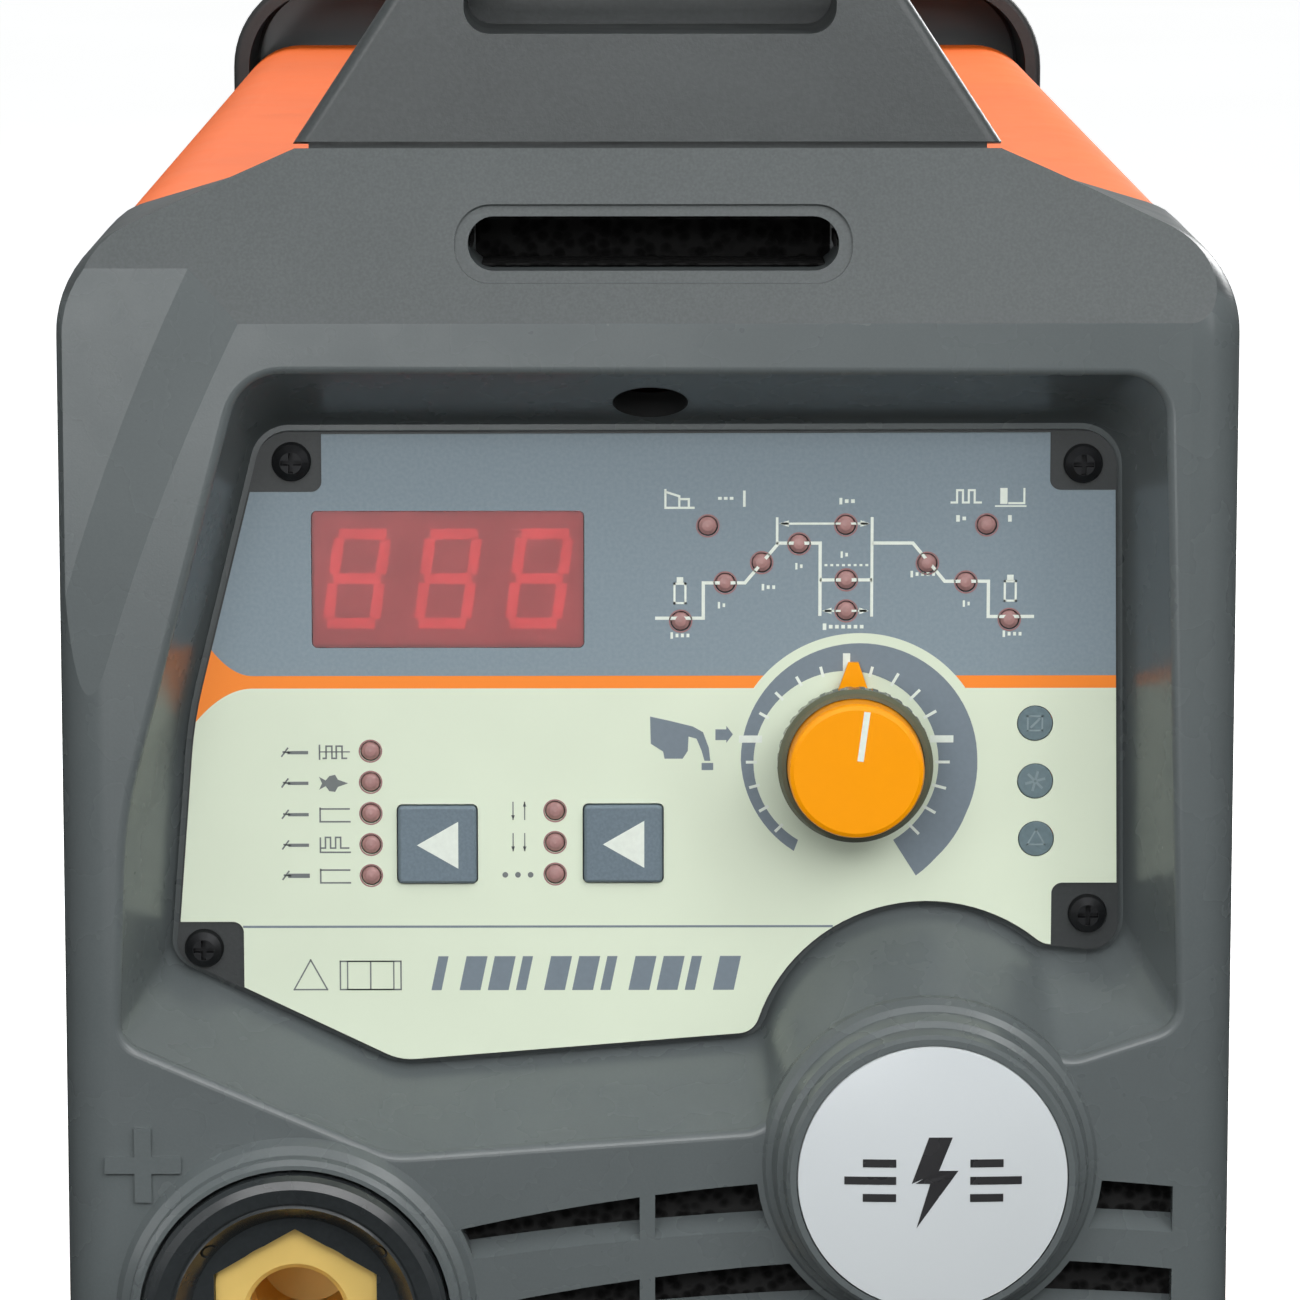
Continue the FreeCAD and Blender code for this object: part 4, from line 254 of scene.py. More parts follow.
def metal(name, colour, roughness, brush=(1.0, 1.0, 1.0), stain=0.12, metallic=1.0):
    """Bare or plated metal with machining marks along the stretched axis."""
    s = Surface(name)
    marks = s.noise(0.7, 2.0, s.stretched(brush))
    cloud = s.noise(8.0, 4.0)
    s.set("Base Color", s.mix(s.span(cloud, 0.35, 0.7, 0.0, 1.0), scaled(colour, 1 - stain), colour))
    s.set("Metallic", metallic)
    s.set("Roughness", s.calc("ADD", s.spread(marks, roughness - 0.03, roughness + 0.03),
                              s.spread(cloud, -0.03, 0.05)))
    s.set("Normal", s.bump(marks, 0.1, 0.01))
    return s.material


def rubber(name, colour):
    """Dull rubber with a dusty bloom."""
    s = Surface(name)
    s.set("Base Color", s.mix(s.spread(s.noise(6.0, 4.0)), colour, scaled(colour, 1.8)))
    s.shine(0.78, 0.08, 5.0)
    s.set("Sheen Weight", 0.15)
    s.set("Normal", s.bump(s.noise(0.6, 3.0), 0.5, 0.05))
    return s.material


def laminate(name, colour):
    """A circuit board: solder mask over copper tracks."""
    s = Surface(name)
    track = s.span(s.cells(5.0), 0.25, 0.32, 0.0, 1.0)
    s.set("Base Color", s.mix(track, scaled(colour, 0.7), scaled(colour, 1.3)))
    s.shine(0.32, 0.05, 4.0)
    s.set("Normal", s.bump(track, 0.3, 0.04))
    return s.material


def wound(name, colour, pitch):
    """Enamelled wire laid in close turns."""
    s = Surface(name)
    height = s.axes()[2]
    turn = s.calc("SINE", s.calc("MULTIPLY", s.calc("ADD", height, s.noise(3.0, 1.0)), 2 * math.pi / pitch))
    s.set("Base Color", s.mix(s.span(turn, -1.0, 1.0, 0.0, 1.0), scaled(colour, 0.55), colour))
    s.set("Metallic", 0.7)
    s.shine(0.3, 0.06, 4.0)
    s.set("Coat Weight", 0.4)
    s.set("Normal", s.bump(turn, 0.6, 0.25))
    return s.material


def lens(name, colour, through, roughness):
    """Tinted see-through plastic."""
    s = Surface(name)
    s.set("Base Color", s.mix(s.spread(s.noise(5.0, 3.0)), scaled(colour, 0.9), colour))
    s.set("Transmission Weight", through)
    s.set("Roughness", s.spread(s.noise(0.8, 2.0), roughness - 0.03, roughness + 0.03))
    s.set("Normal", s.bump(s.noise(0.7, 2.0), 0.1, 0.01))
    return s.material


BLUE_GREY = rgb(0.215, 0.275, 0.315)
CREAM = rgb(0.72, 0.80, 0.64)
STRIPE_ORANGE = rgb(1.0, 0.27, 0.03)
INK_GREY = rgb(0.19, 0.235, 0.275)

DIAL = (29.1, 155.3)       # middle of the dial's cream field and of its dark band's outer edge
DIAL_FIELD = 17.7          # radius of the cream field
SCALE = (27.3, 155.0)      # middle of the band's inner edge and of the ticks
STRIPE = (165.35, 167.1)   # lower and upper edge of the orange stripe
FLARE_START = -54.3        # left of here the stripe grows wider


def printed_film():
    """The front film: blue-grey above an orange stripe that flares on the left, cream below; the blue-grey
    darkens towards the top as painted shade under the recess's ceiling.
    """
    s = Surface("printed_film")
    x = s.axes()[0]
    z = s.axes()[2]
    flare = s.calc("POWER", s.calc("MAXIMUM", s.calc("SUBTRACT", FLARE_START, x), 0.0), 2.0)
    top_edge = s.calc("ADD", s.calc("MULTIPLY", flare, 0.115), STRIPE[1])
    low_edge = s.calc("SUBTRACT", STRIPE[0], s.calc("MULTIPLY", flare, 0.075))
    above = s.calc("GREATER_THAN", z, top_edge)
    under = s.calc("LESS_THAN", z, low_edge)
    halo = s.calc("LESS_THAN", s.reach(x, z, DIAL), DIAL_FIELD)
    # painted shade: the blue-grey darkens towards the top, under the recess's ceiling
    painted_shade = s.span(z, 160.0, 202.0, 1.0, 0.0)
    blue = s.mix(painted_shade, scaled(BLUE_GREY, 0.9), scaled(BLUE_GREY, 1.08))
    speck = s.span(s.noise(0.5, 2.0), 0.35, 0.65, 0.0, 0.06)
    blue = s.mix(speck, blue, rgb(0.6, 0.66, 0.72))
    cream = s.mix(s.spread(s.noise(30.0, 2.0)), scaled(CREAM, 0.97), scaled(CREAM, 1.03))
    body = s.mix(above, s.mix(under, STRIPE_ORANGE, cream), blue)
    s.set("Base Color", s.mix(halo, body, cream))
    s.shine(0.42, 0.05, 12.0)
    s.set("Specular IOR Level", 0.4)
    s.set("Normal", s.bump(s.noise(0.45, 2.0), 0.2, 0.02))
    return s.material


def ink(name, colour, roughness=0.45):
    """A layer of printing ink."""
    s = Surface(name)
    s.set("Base Color", s.mix(s.spread(s.noise(0.7, 2.0)), scaled(colour, 0.94), colour))
    s.shine(roughness, 0.05, 6.0)
    s.set("Normal", s.bump(s.noise(0.3, 2.0), 0.2, 0.01))
    return s.material


def painted_glow_segment(name, colour, glow):
    """A display segment with a faint glow of painted light."""
    s = Surface(name)
    tone = s.mix(s.spread(s.noise(1.2, 2.0)), scaled(colour, 0.85), colour)
    s.set("Base Color", tone)
    s.set("Emission Color", tone)
    s.set("Emission Strength", glow)
    s.shine(0.35, 0.05, 1.5)
    return s.material


CHARCOAL = rgb(0.108, 0.124, 0.127)

# a finish for each material slot, apart from charcoal_plastic, whose nodes have their own below
FINISHES = {
    "black_plastic": moulded("black_plastic", rgb(0.028, 0.03, 0.031), 0.5, 0.4, 0.05),
    "orange_paint": painted("orange_paint", rgb(1.0, 0.16, 0.006), 0.5, 0.05),
    "grey_paint": painted("grey_paint", rgb(0.10, 0.11, 0.115), 0.45, 0.1),
    "black_steel": metal("black_steel", rgb(0.05, 0.05, 0.055), 0.32),
    "zinc_steel": metal("zinc_steel", rgb(0.55, 0.56, 0.54), 0.34),
    "rubber": rubber("rubber", rgb(0.018, 0.018, 0.019)),
    "printed_film": printed_film(),
    "red_lens": lens("red_lens", rgb(0.80, 0.34, 0.35), 0.85, 0.32),
    "display_black": moulded("display_black", rgb(0.30, 0.10, 0.10), 0.45, 0.3, 0.02),
    "red_led": moulded("red_led", rgb(0.36, 0.20, 0.19), 0.35, 0.5, 0.005),
    "smoked_lens": moulded("smoked_lens", rgb(0.14, 0.195, 0.215), 0.25, 0.6, 0.01),
    "blue_grey_key": moulded("blue_grey_key", rgb(0.135, 0.18, 0.215), 0.45, 0.25, 0.02),
    "green_laminate": laminate("green_laminate", rgb(0.02, 0.16, 0.06)),
    "white_plastic": moulded("white_plastic", rgb(0.7, 0.7, 0.66), 0.4, 0.4, 0.02),
    "smoked_plastic": lens("smoked_plastic", rgb(0.17, 0.18, 0.12), 0.25, 0.22),
    "amber_plastic": moulded("amber_plastic", rgb(0.97, 0.345, 0.0), 0.4, 1.2, 0.006, 0.01, 0.2, 0.02),
    "silver_disc": painted("silver_disc", rgb(0.66, 0.70, 0.72), 0.22, 0.6, 0.9),
    "black_gloss": moulded("black_gloss", rgb(0.026, 0.03, 0.032), 0.24, 0.5, 0.015),
    "brass": metal("brass", rgb(1.0, 0.70, 0.21), 0.34, (1.0, 0.15, 1.0), 0.08, 0.2),
    "chrome": metal("chrome", rgb(0.78, 0.78, 0.79), 0.14),
    "red_rocker": moulded("red_rocker", rgb(0.5, 0.02, 0.02), 0.25, 0.5, 0.01),
    "aluminium": metal("aluminium", rgb(0.62, 0.63, 0.65), 0.36, (1.0, 0.1, 1.0)),
    "capacitor_sleeve": moulded("capacitor_sleeve", rgb(0.04, 0.05, 0.11), 0.28, 0.8, 0.02),
    "ferrite": moulded("ferrite", rgb(0.06, 0.06, 0.065), 0.55, 0.5, 0.05),
    "copper": wound("copper", rgb(0.75, 0.30, 0.14), 2.0),
    "coil_tape": wound("coil_tape", rgb(0.65, 0.50, 0.10), 6.5),
    "valve_coil": moulded("valve_coil", rgb(0.05, 0.05, 0.06), 0.5, 0.5, 0.04),
    "hose": lens("hose", rgb(0.10, 0.22, 0.42), 0.3, 0.25),
}

# nodes whose look differs from the rest of their slot
SINGLE_FINISHES = {
    "panel_plate": moulded("panel_plate", rgb(0.034, 0.038, 0.039), 0.4, 0.35, 0.03),
    "panel_screws": metal("black_oxide", rgb(0.02, 0.021, 0.023), 0.45, stain=0.2, metallic=0.6),
    # its second colour is the painted shade of the front moulding's leaning upper face
    "front_bezel": moulded_front("front_bezel", CHARCOAL, scaled(CHARCOAL, 0.55)),
    "handle_shell": moulded("handle_shell", scaled(CHARCOAL, 0.42), 0.38, 0.4, 0.04),
}
for part in frame["record"]["subparts"]:
    mesh = NODES[part["node"]].data
    mesh.materials.clear()
    mesh.materials.append(SINGLE_FINISHES.get(part["node"]) or FINISHES[part["material_slot"]])

WHITE_INK = ink("white_ink", rgb(0.80, 0.86, 0.78))
DARK_INK = ink("dark_ink", INK_GREY)
LINE_INK = ink("line_ink", rgb(0.17, 0.19, 0.19))
BADGE_INK = ink("badge_ink", rgb(0.03, 0.03, 0.032), 0.3)
LAMP_RING_INK = ink("lamp_ring_ink", rgb(0.33, 0.16, 0.16))
LAMP_SIGN_INK = ink("lamp_sign_ink", rgb(0.24, 0.31, 0.33))
# a faint painted glow on every display segment
SEGMENT = painted_glow_segment("display_segment", rgb(0.85, 0.13, 0.15), 0.22)
# a near-black foam for the painted shade behind the grille
SHADE_FOAM = foam("grille_shade_foam", rgb(0.012, 0.012, 0.012))


# ---------------------------------------------------------------- flat shapes, as lists of (x, z)
def around(centre, radius, degrees):
    """The point at an angle on a circle."""
    angle = math.radians(degrees)
    return (centre[0] + radius * math.cos(angle), centre[1] + radius * math.sin(angle))


def bar(x0, z0, x1, z1, width):
    """A straight stroke."""
    along = Vector((x1 - x0, z1 - z0)).normalized() * (width / 2)
    side = Vector((-along.y, along.x))
    start = Vector((x0, z0)) - along
    end = Vector((x1, z1)) + along
    return [tuple(start - side), tuple(end - side), tuple(end + side), tuple(start + side)]


def path(points, width):
    """A bent stroke with mitred corners."""
    count = len(points)
    left = []
    right = []
    for index, point in enumerate(points):
        here = Vector(point)
        before = (here - Vector(points[index - 1])).normalized() if index > 0 else None
        after = (Vector(points[index + 1]) - here).normalized() if index < count - 1 else None
        direction = (before or after) + (after or before)
        direction = direction.normalized()
        side = Vector((-direction.y, direction.x))
        stretch = 1.0
        if before is not None and after is not None:
            stretch = 1 / max(side.dot(Vector((-after.y, after.x))), 0.3)
        left.append(tuple(here + side * stretch * width / 2))
        right.append(tuple(here - side * stretch * width / 2))
    return left + right[::-1]


def round_patch(x, z, radius, steps):
    """A filled circle."""
    return [(x + radius * math.cos(2 * math.pi * k / steps), z + radius * math.sin(2 * math.pi * k / steps))
            for k in range(steps)]


def arc_band(x, z, inner, outer, start, end, steps=40):
    """A band between two arcs, from a start angle to an end angle in degrees."""
    angles = [start + (end - start) * k / steps for k in range(steps + 1)]
    far = [around((x, z), outer, degrees) for degrees in angles]
    near = [around((x, z), inner, degrees) for degrees in angles]
    return far + near[::-1]


def hoop(x, z, inner, outer):
    """A whole ring, in two halves."""
    return [arc_band(x, z, inner, outer, 0, 180), arc_band(x, z, inner, outer, 180, 360)]


def rectangle(x0, x1, z0, z1):
    return [(x0, z0), (x1, z0), (x1, z1), (x0, z1)]


def square_wave(edges, low, high, width):
    """A stroke that changes between two heights at every place but the first and last."""
    points = [(edges[0], low)]
    level = low
    for x in edges[1:-1]:
        points.append((x, level))
        level = high if level == low else low
        points.append((x, level))
    points.append((edges[-1], level))
    return path(points, width)


def frame_lines(x0, x1, z0, z1, width):
    """The four sides of a rectangle."""
    return [bar(x0, z0, x1, z0, width), bar(x1, z0, x1, z1, width),
            bar(x1, z1, x0, z1, width), bar(x0, z1, x0, z0, width)]


def triangle_lines(x, z, width, height, stroke):
    """The three sides of an upright triangle whose base starts at a place."""
    corners = [(x, z), (x + width / 2, z + height), (x + width, z)]
    return [bar(*corners[k], *corners[(k + 1) % 3], stroke) for k in range(3)]


def slab(name, outlines, depth, material, thick=PRINT, body="root"):
    """Flat shapes standing on a surface, as one closed piece; depth is a number or a function of x and z."""
    mesh_data = bmesh.new()
    for outline in outlines:
        depths = [depth(x, z) if callable(depth) else depth for x, z in outline]
        front = [mesh_data.verts.new(place(x, y - thick, z)) for (x, z), y in zip(outline, depths)]
        back = [mesh_data.verts.new(place(x, y, z)) for (x, z), y in zip(outline, depths)]
        faces = [mesh_data.faces.new(front), mesh_data.faces.new(back[::-1])]
        for index in range(len(outline)):
            following = (index + 1) % len(outline)
            faces.append(mesh_data.faces.new((front[index], back[index], back[following], front[following])))
        bmesh.ops.recalc_face_normals(mesh_data, faces=faces)
    mesh = bpy.data.meshes.new(name)
    mesh_data.to_mesh(mesh)
    mesh_data.free()
    mesh.materials.append(material)
    piece = bpy.data.objects.new(name, mesh)
    bpy.context.scene.collection.objects.link(piece)
    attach(piece, body)


# ---------------------------------------------------------------- prints on the film
BAND_OUTER = ((-64.0, 18.1), (-52.0, 17.4), (-27.0, 16.6), (0.0, 16.3), (90.0, 16.3), (180.0, 16.3),
              (235.0, 15.6))      # angle in degrees and radius
BAND_STEP = 4                     # degrees, about, between its points
BAND_INNER = 12.75
BAND_INNER_START = 239.0
BAND_INNER_END = -59.0
BAND_INNER_STEPS = 72


def dial_band():
    """The dark crescent round the knob, which grows wider clockwise."""
    outer = []
    for (a0, r0), (a1, r1) in zip(BAND_OUTER, BAND_OUTER[1:]):
        steps = max(int((a1 - a0) / BAND_STEP), 1)
        for k in range(steps):
            outer.append(around(DIAL, r0 + (r1 - r0) * k / steps, a0 + (a1 - a0) * k / steps))
    last_angle, last_radius = BAND_OUTER[-1]
    outer.append(around(DIAL, last_radius, last_angle))
    sweep = BAND_INNER_START - BAND_INNER_END
    inner = [around(SCALE, BAND_INNER, BAND_INNER_START - sweep * k / BAND_INNER_STEPS)
             for k in range(BAND_INNER_STEPS + 1)]
    return outer + inner


slab("print_dial_band", [dial_band()], FILM, DARK_INK)

TICKS = 19
TICK_RADIUS = 12.5
TOP_TICK = 9
MAJOR_TICKS = (4, TOP_TICK, 14)    # thick; those beside the top one lie level
LAST_SHORT_TICK = 10
ticks = []
for step in range(TICKS):
    degrees = 225.0 - 15.0 * step
    major = step in MAJOR_TICKS
    length = 2.2 if major else (1.6 if step > LAST_SHORT_TICK else 1.1)
    near = Vector(around(SCALE, TICK_RADIUS, degrees))
    way = Vector(around((0.0, 0.0), 1.0, degrees))
    if major and step != TOP_TICK:
        way = Vector((math.copysign(1.0, way.x), 0.0))
    far = near + way * length
    ticks.append(bar(near.x, near.y, far.x, far.y, 1.0 if major else 0.4))
slab("print_dial_ticks", ticks, FILM - PRINT, WHITE_INK)

# stroke widths of the printed pictures
LINE = 0.45
MEDIUM = 0.3
FINE = 0.28
THIN = 0.22
HAIR = 0.16

# welding cycle in the upper half of the film
cycle = [
    path([(1.0, 175.1), (7.6, 175.1), (7.6, 180.0), (13.3, 180.0), (17.9, 185.5), (23.6, 185.5),
          (23.6, 175.4)], LINE),
    path([(30.8, 185.5), (36.3, 185.5), (40.7, 180.2), (46.7, 180.2), (46.7, 175.3), (53.0, 175.3)], LINE),
    bar(17.7, 188.9, 17.7, 185.5, 0.35),
    bar(30.7, 188.9, 30.7, 175.5, 0.4),
    bar(18.4, 188.2, 30.0, 188.2, MEDIUM),
    bar(23.8, 180.4, 30.5, 180.4, LINE),
    bar(24.4, 176.1, 29.9, 176.1, MEDIUM),
]
# arrow heads, which point left (-1) or right (1)
for tip_x, tip_z, way in ((18.0, 188.2, -1), (30.4, 188.2, 1), (23.9, 176.1, -1), (30.3, 176.1, 1)):
    cycle.append([(tip_x, tip_z), (tip_x - way * 1.3, tip_z + 0.45), (tip_x - way * 1.3, tip_z - 0.45)])
for dot in range(8):
    cycle.append(rectangle(24.2 + dot * 0.8, 24.6 + dot * 0.8, 182.3, 182.6))
for bottle_x, bottle_z in ((4.4, 177.2), (49.7, 177.5)):
    cycle.extend(frame_lines(bottle_x - 0.75, bottle_x + 0.75, bottle_z, bottle_z + 2.7, MEDIUM))
    cycle.append(rectangle(bottle_x - 0.45, bottle_x + 0.45, bottle_z + 2.8, bottle_z + 3.6))
slab("print_cycle", cycle, FILM, WHITE_INK)


FIRST_DASH_HEIGHT = 0.9
DASH_HEIGHT = 0.5
DASH_GAP = 0.35


def fine_print(x, z, widths):
    """A tall dash and small ones after it, where an ordinary panel has a caption."""
    marks = []
    left = x
    height = FIRST_DASH_HEIGHT
    for width in widths:
        marks.append(rectangle(left, left + width, z - height / 2, z + height / 2))
        left += width + DASH_GAP
        height = DASH_HEIGHT
    return marks


# where each caption starts, and how wide its dashes are
CAPTIONS = (
    (3.1, 172.7, (0.35, 0.4, 0.4, 0.4)),
    (9.6, 176.9, (0.3, 0.35)),
    (15.6, 179.4, (0.35, 0.4, 0.4)),
    (20.2, 182.3, (0.3, 0.35)),
    (26.4, 183.9, (0.3, 0.35)),
    (36.0, 181.2, (0.35, 0.4, 0.4, 0.4, 0.4)),
    (43.2, 177.1, (0.3, 0.3)),
    (48.7, 172.9, (0.35, 0.4, 0.4, 0.4)),
    (26.2, 191.3, (0.4, 0.5, 0.5)),
    (24.0, 173.9, (0.5,) * 7),
    (42.2, 188.9, (0.5, 0.5)),
    (49.3, 188.9, (0.5,)),
)
captions = []
for x, z, widths in CAPTIONS:
    captions.extend(fine_print(x, z, widths))
slab("print_captions", captions, FILM, WHITE_INK)

# small pictures over the welding cycle
waves = [
    path([(2.4, 193.0), (2.4, 190.4), (6.4, 190.4)], MEDIUM),
    path([(2.4, 192.6), (4.3, 192.0), (4.3, 190.5)], MEDIUM),
    path([(4.3, 191.6), (5.6, 191.6), (5.6, 190.5)], MEDIUM),
    bar(13.2, 192.6, 13.2, 190.7, 0.35),
    square_wave((41.4, 42.3, 43.1, 43.9, 44.7, 45.7), 191.1, 192.8, FINE),
    rectangle(48.2, 49.2, 190.9, 193.1),
    path([(49.3, 191.0), (51.5, 191.0), (51.5, 193.1)], FINE),
    bar(47.6, 190.6, 51.7, 190.6, 0.2),
]
for dot in range(3):
    waves.append(rectangle(9.6 + dot * 0.8, 10.1 + dot * 0.8, 191.5, 191.9))
slab("print_waves", waves, FILM, WHITE_INK)

# mode pictures at the left: a small torch in each row, and its own picture beside it
MODE_ROWS = (156.4, 152.1, 147.7, 143.4, 139.1)
modes = []
for level in MODE_ROWS:
    modes.append(bar(-50.4, level - 0.5, -49.6, level + 0.6, THIN))
    modes.append(bar(-49.4, level, -47.0, level, 0.6 if level == MODE_ROWS[-1] else LINE))
    modes.append(bar(-50.2, level + 0.1, -49.4, level, THIN))
for level in (MODE_ROWS[2], MODE_ROWS[4]):
    modes.append(path([(-45.2, level + 1.0), (-45.2, level - 1.0), (-41.0, level - 1.0)], THIN))
    modes.append(bar(-45.2, level + 0.8, -41.2, level + 0.8, THIN))
modes.append(path([(-45.2, 144.5), (-45.2, 142.4), (-41.0, 142.4)], THIN))
modes.append(square_wave((-45.2, -44.5, -43.8, -43.1, -42.4, -41.2), 143.0, 144.5, THIN))
modes.append(bar(-45.2, 157.4, -45.2, 155.5, THIN))
modes.append(bar(-45.2, 156.5, -41.1, 156.5, HAIR))
modes.append(square_wave((-44.8, -44.3, -43.5, -42.9, -42.1, -41.4), 155.6, 157.3, THIN))
modes.append([(-45.3, 151.2), (-44.4, 151.7), (-43.9, 151.0), (-43.1, 150.9), (-42.7, 151.6), (-41.3, 152.1),
              (-42.7, 152.6), (-43.1, 153.3), (-43.9, 153.1), (-44.4, 152.5), (-45.3, 153.0), (-44.9, 152.1)])
# trigger pictures: two upright arrows in each of two rows, all of them down but one
for column, upper_way in ((-18.6, -1), (-17.0, 1)):
    for level, way in ((148.2, upper_way), (143.8, -1)):
        modes.append(bar(column, level - 1.2, column, level + 1.2, HAIR))
        head = level + way * 1.3
        foot = head - way * 0.7
        modes.append([(column, head), (column - 0.25, foot), (column + 0.25, foot)])
for dot in range(3):
    modes.append(round_patch(-19.7 + dot * 1.75, 139.2, 0.4, 12))
slab("print_modes", modes, FILM, LINE_INK)

# a rule across the lower part of the film
slab("print_rule", [rectangle(-56.0, 25.6, 131.75, 132.05)], FILM, DARK_INK)

# a picture beside the knob: a hand that presses
press = [
    [(0.3, 161.4), (3.0, 160.8), (6.2, 160.0), (7.6, 159.2), (8.4, 157.0), (8.6, 155.2), (7.8, 155.2),
     (7.4, 156.6), (6.7, 158.3), (5.6, 158.6), (5.5, 156.6), (4.8, 155.5), (2.3, 155.5), (2.1, 156.5),
     (0.4, 157.6)],
    rectangle(7.4, 9.0, 153.9, 154.9),
    [(9.3, 158.1), (10.8, 158.1), (10.8, 157.7), (11.7, 158.9), (10.8, 160.1), (10.8, 159.6), (9.3, 159.6)],
]
slab("print_press_hint", press, FILM, DARK_INK)

# a plain triangle and an open book
SYMBOL_LINE = 0.2
symbols = triangle_lines(-49.0, 123.0, 4.6, 4.2, SYMBOL_LINE)
symbols.extend(frame_lines(-42.6, -34.2, 123.0, 127.0, SYMBOL_LINE))
symbols.extend(frame_lines(-41.6, -35.2, 123.0, 127.0, 0.18))
symbols.append(bar(-38.4, 123.0, -38.4, 127.0, SYMBOL_LINE))
slab("print_symbols", symbols, FILM, LINE_INK)

# a plain row of leaning bars instead of a name
BAR_FOOT = 122.9
BAR_HEAD = 127.7
BAR_PITCH = 3.9
BAR_LEAN = 1.0
bars = []
for index in range(11):
    left = -30.0 + index * BAR_PITCH
    wide = 2.9 if index % 3 else 1.4
    bars.append([(left, BAR_FOOT), (left + wide, BAR_FOOT), (left + wide + BAR_LEAN, BAR_HEAD),
                 (left + BAR_LEAN, BAR_HEAD)])
slab("print_name_bars", bars, FILM, DARK_INK)

# a thin ring of ink round each small lamp
PROCESS_LAMPS = [(-38.2, 156.6 - 4.37 * row) for row in range(5)]
TRIGGER_LAMPS = [(-12.8, 148.2 - 4.45 * row) for row in range(3)]
CYCLE_LAMPS = [(4.5, 174.7), (10.6, 180.0), (15.6, 182.8), (20.7, 185.4), (27.1, 188.0), (27.2, 180.4),
               (27.2, 176.1), (38.3, 182.7), (43.6, 180.1), (49.6, 174.9), (8.2, 187.9), (46.4, 188.0)]
LAMP_RING = (1.42, 1.62)       # its inner and outer radius

lamp_rings = []
for lamp_x, lamp_z in PROCESS_LAMPS + TRIGGER_LAMPS + CYCLE_LAMPS:
    lamp_rings.extend(hoop(lamp_x, lamp_z, *LAMP_RING))
slab("print_lamp_rings", lamp_rings, FILM, LAMP_RING_INK)

# signs on the three status lamps: a pen stroke in a square, a fan, and a plain triangle
LAMP_FRONT = FILM - 0.05
FAN_SIGN = (53.4, 152.3)
signs = frame_lines(52.3, 54.3, 159.4, 161.4, THIN)
signs.append(bar(52.8, 159.9, 53.9, 161.0, MEDIUM))
for blade in range(6):
    degrees = 60 * blade + 15
    signs.append(bar(*around(FAN_SIGN, 0.35, degrees), *around(FAN_SIGN, 1.25, degrees), 0.34))
signs.extend(triangle_lines(52.4, 143.4, 2.4, 2.1, THIN))
slab("print_lamp_signs", signs, LAMP_FRONT, LAMP_SIGN_INK, PRINT, "root")

# a dark foam sheet behind the grille as painted shade, standing in for the shade inside the machine; it is
# open round the sockets
# x, z and radius of each round part there
OBSTACLES = ((-48.2, 81.2, 23.4), (47.0, 45.0, 23.4), (-41.0, 32.0, 11.5), (-5.0, 32.0, 13.0))
LEAST_STRIP = 0.5      # shorter lengths of a strip are left out


def shade_strips(x0, x1, z0, z1, width):
    """Upright strips that fill a rectangle, apart from the round obstacles."""
    strips = []
    count = int(round((x1 - x0) / width))
    for index in range(count):
        left = x0 + index * width
        middle = left + width / 2
        spans = [(z0, z1)]
        for centre_x, centre_z, radius in OBSTACLES:
            inside = radius ** 2 - (middle - centre_x) ** 2
            if inside <= 0:
                continue
            half = math.sqrt(inside)
            parts = []
            for low, high in spans:
                parts.extend([(low, min(high, centre_z - half)), (max(low, centre_z + half), high)])
            spans = [(low, high) for low, high in parts if high - low > LEAST_STRIP]
        strips.extend(rectangle(left, left + width, low, high) for low, high in spans)
    return strips


slab("louvre_shade_sheet", shade_strips(-75.0, 75.0, 20.0, 101.0, 2.0), 7.0, SHADE_FOAM, 2.5, "root")

# a near-black sheet of painted shade in the strap slot, set back from its mouth, standing in for the shade
# inside the slot
SLOT_LEFT = -23.9
SLOT_RIGHT = 25.3
SLOT_LOW = 224.45
SLOT_HIGH = 230.95
SHEET = 0.3            # thickness of the sheets
SLOT_SHADE = foam("slot_shade", rgb(0.004, 0.004, 0.004))
slab("strap_slot_shade", [rectangle(SLOT_LEFT + 1.5, SLOT_RIGHT - 1.5, SLOT_LOW, SLOT_LOW + SHEET),
                           rectangle(SLOT_LEFT + 1.5, SLOT_RIGHT - 1.5, SLOT_HIGH - SHEET, SLOT_HIGH),
                           rectangle(SLOT_LEFT, SLOT_LEFT + SHEET, SLOT_LOW + 2.5, SLOT_HIGH - 2.5),
                           rectangle(SLOT_RIGHT - SHEET, SLOT_RIGHT, SLOT_LOW + 2.5, SLOT_HIGH - 2.5)],
     18.2, SLOT_SHADE, 9.8, "root")
slab("strap_slot_back_shade", [rectangle(SLOT_LEFT + 0.5, SLOT_RIGHT - 0.5, SLOT_LOW, SLOT_HIGH)],
     18.35, SLOT_SHADE, SHEET, "root")

# the keys' triangles, which point left
for key, body, key_x, key_z in (("process_key", "process_key_body", -29.05, 143.55),
                                ("trigger_mode_key", "trigger_key_body", -3.4, 143.65)):
    triangle = [(key_x - 2.8, key_z), (key_x + 2.9, key_z + 3.3), (key_x + 2.9, key_z - 3.3)]
    slab(key + "_triangle", [triangle], FILM - 0.9, WHITE_INK, PRINT, body)

# the line on the knob, which leans a little to the right
KNOB_MIDDLE = (28.5, 156.3)
KNOB_ANGLE = 90 - 7.6
slab("knob_line", [bar(*around(KNOB_MIDDLE, 1.9, KNOB_ANGLE), *around(KNOB_MIDDLE, 7.9, KNOB_ANGLE), 0.85)],
     1.6, WHITE_INK, 0.05, "knob")

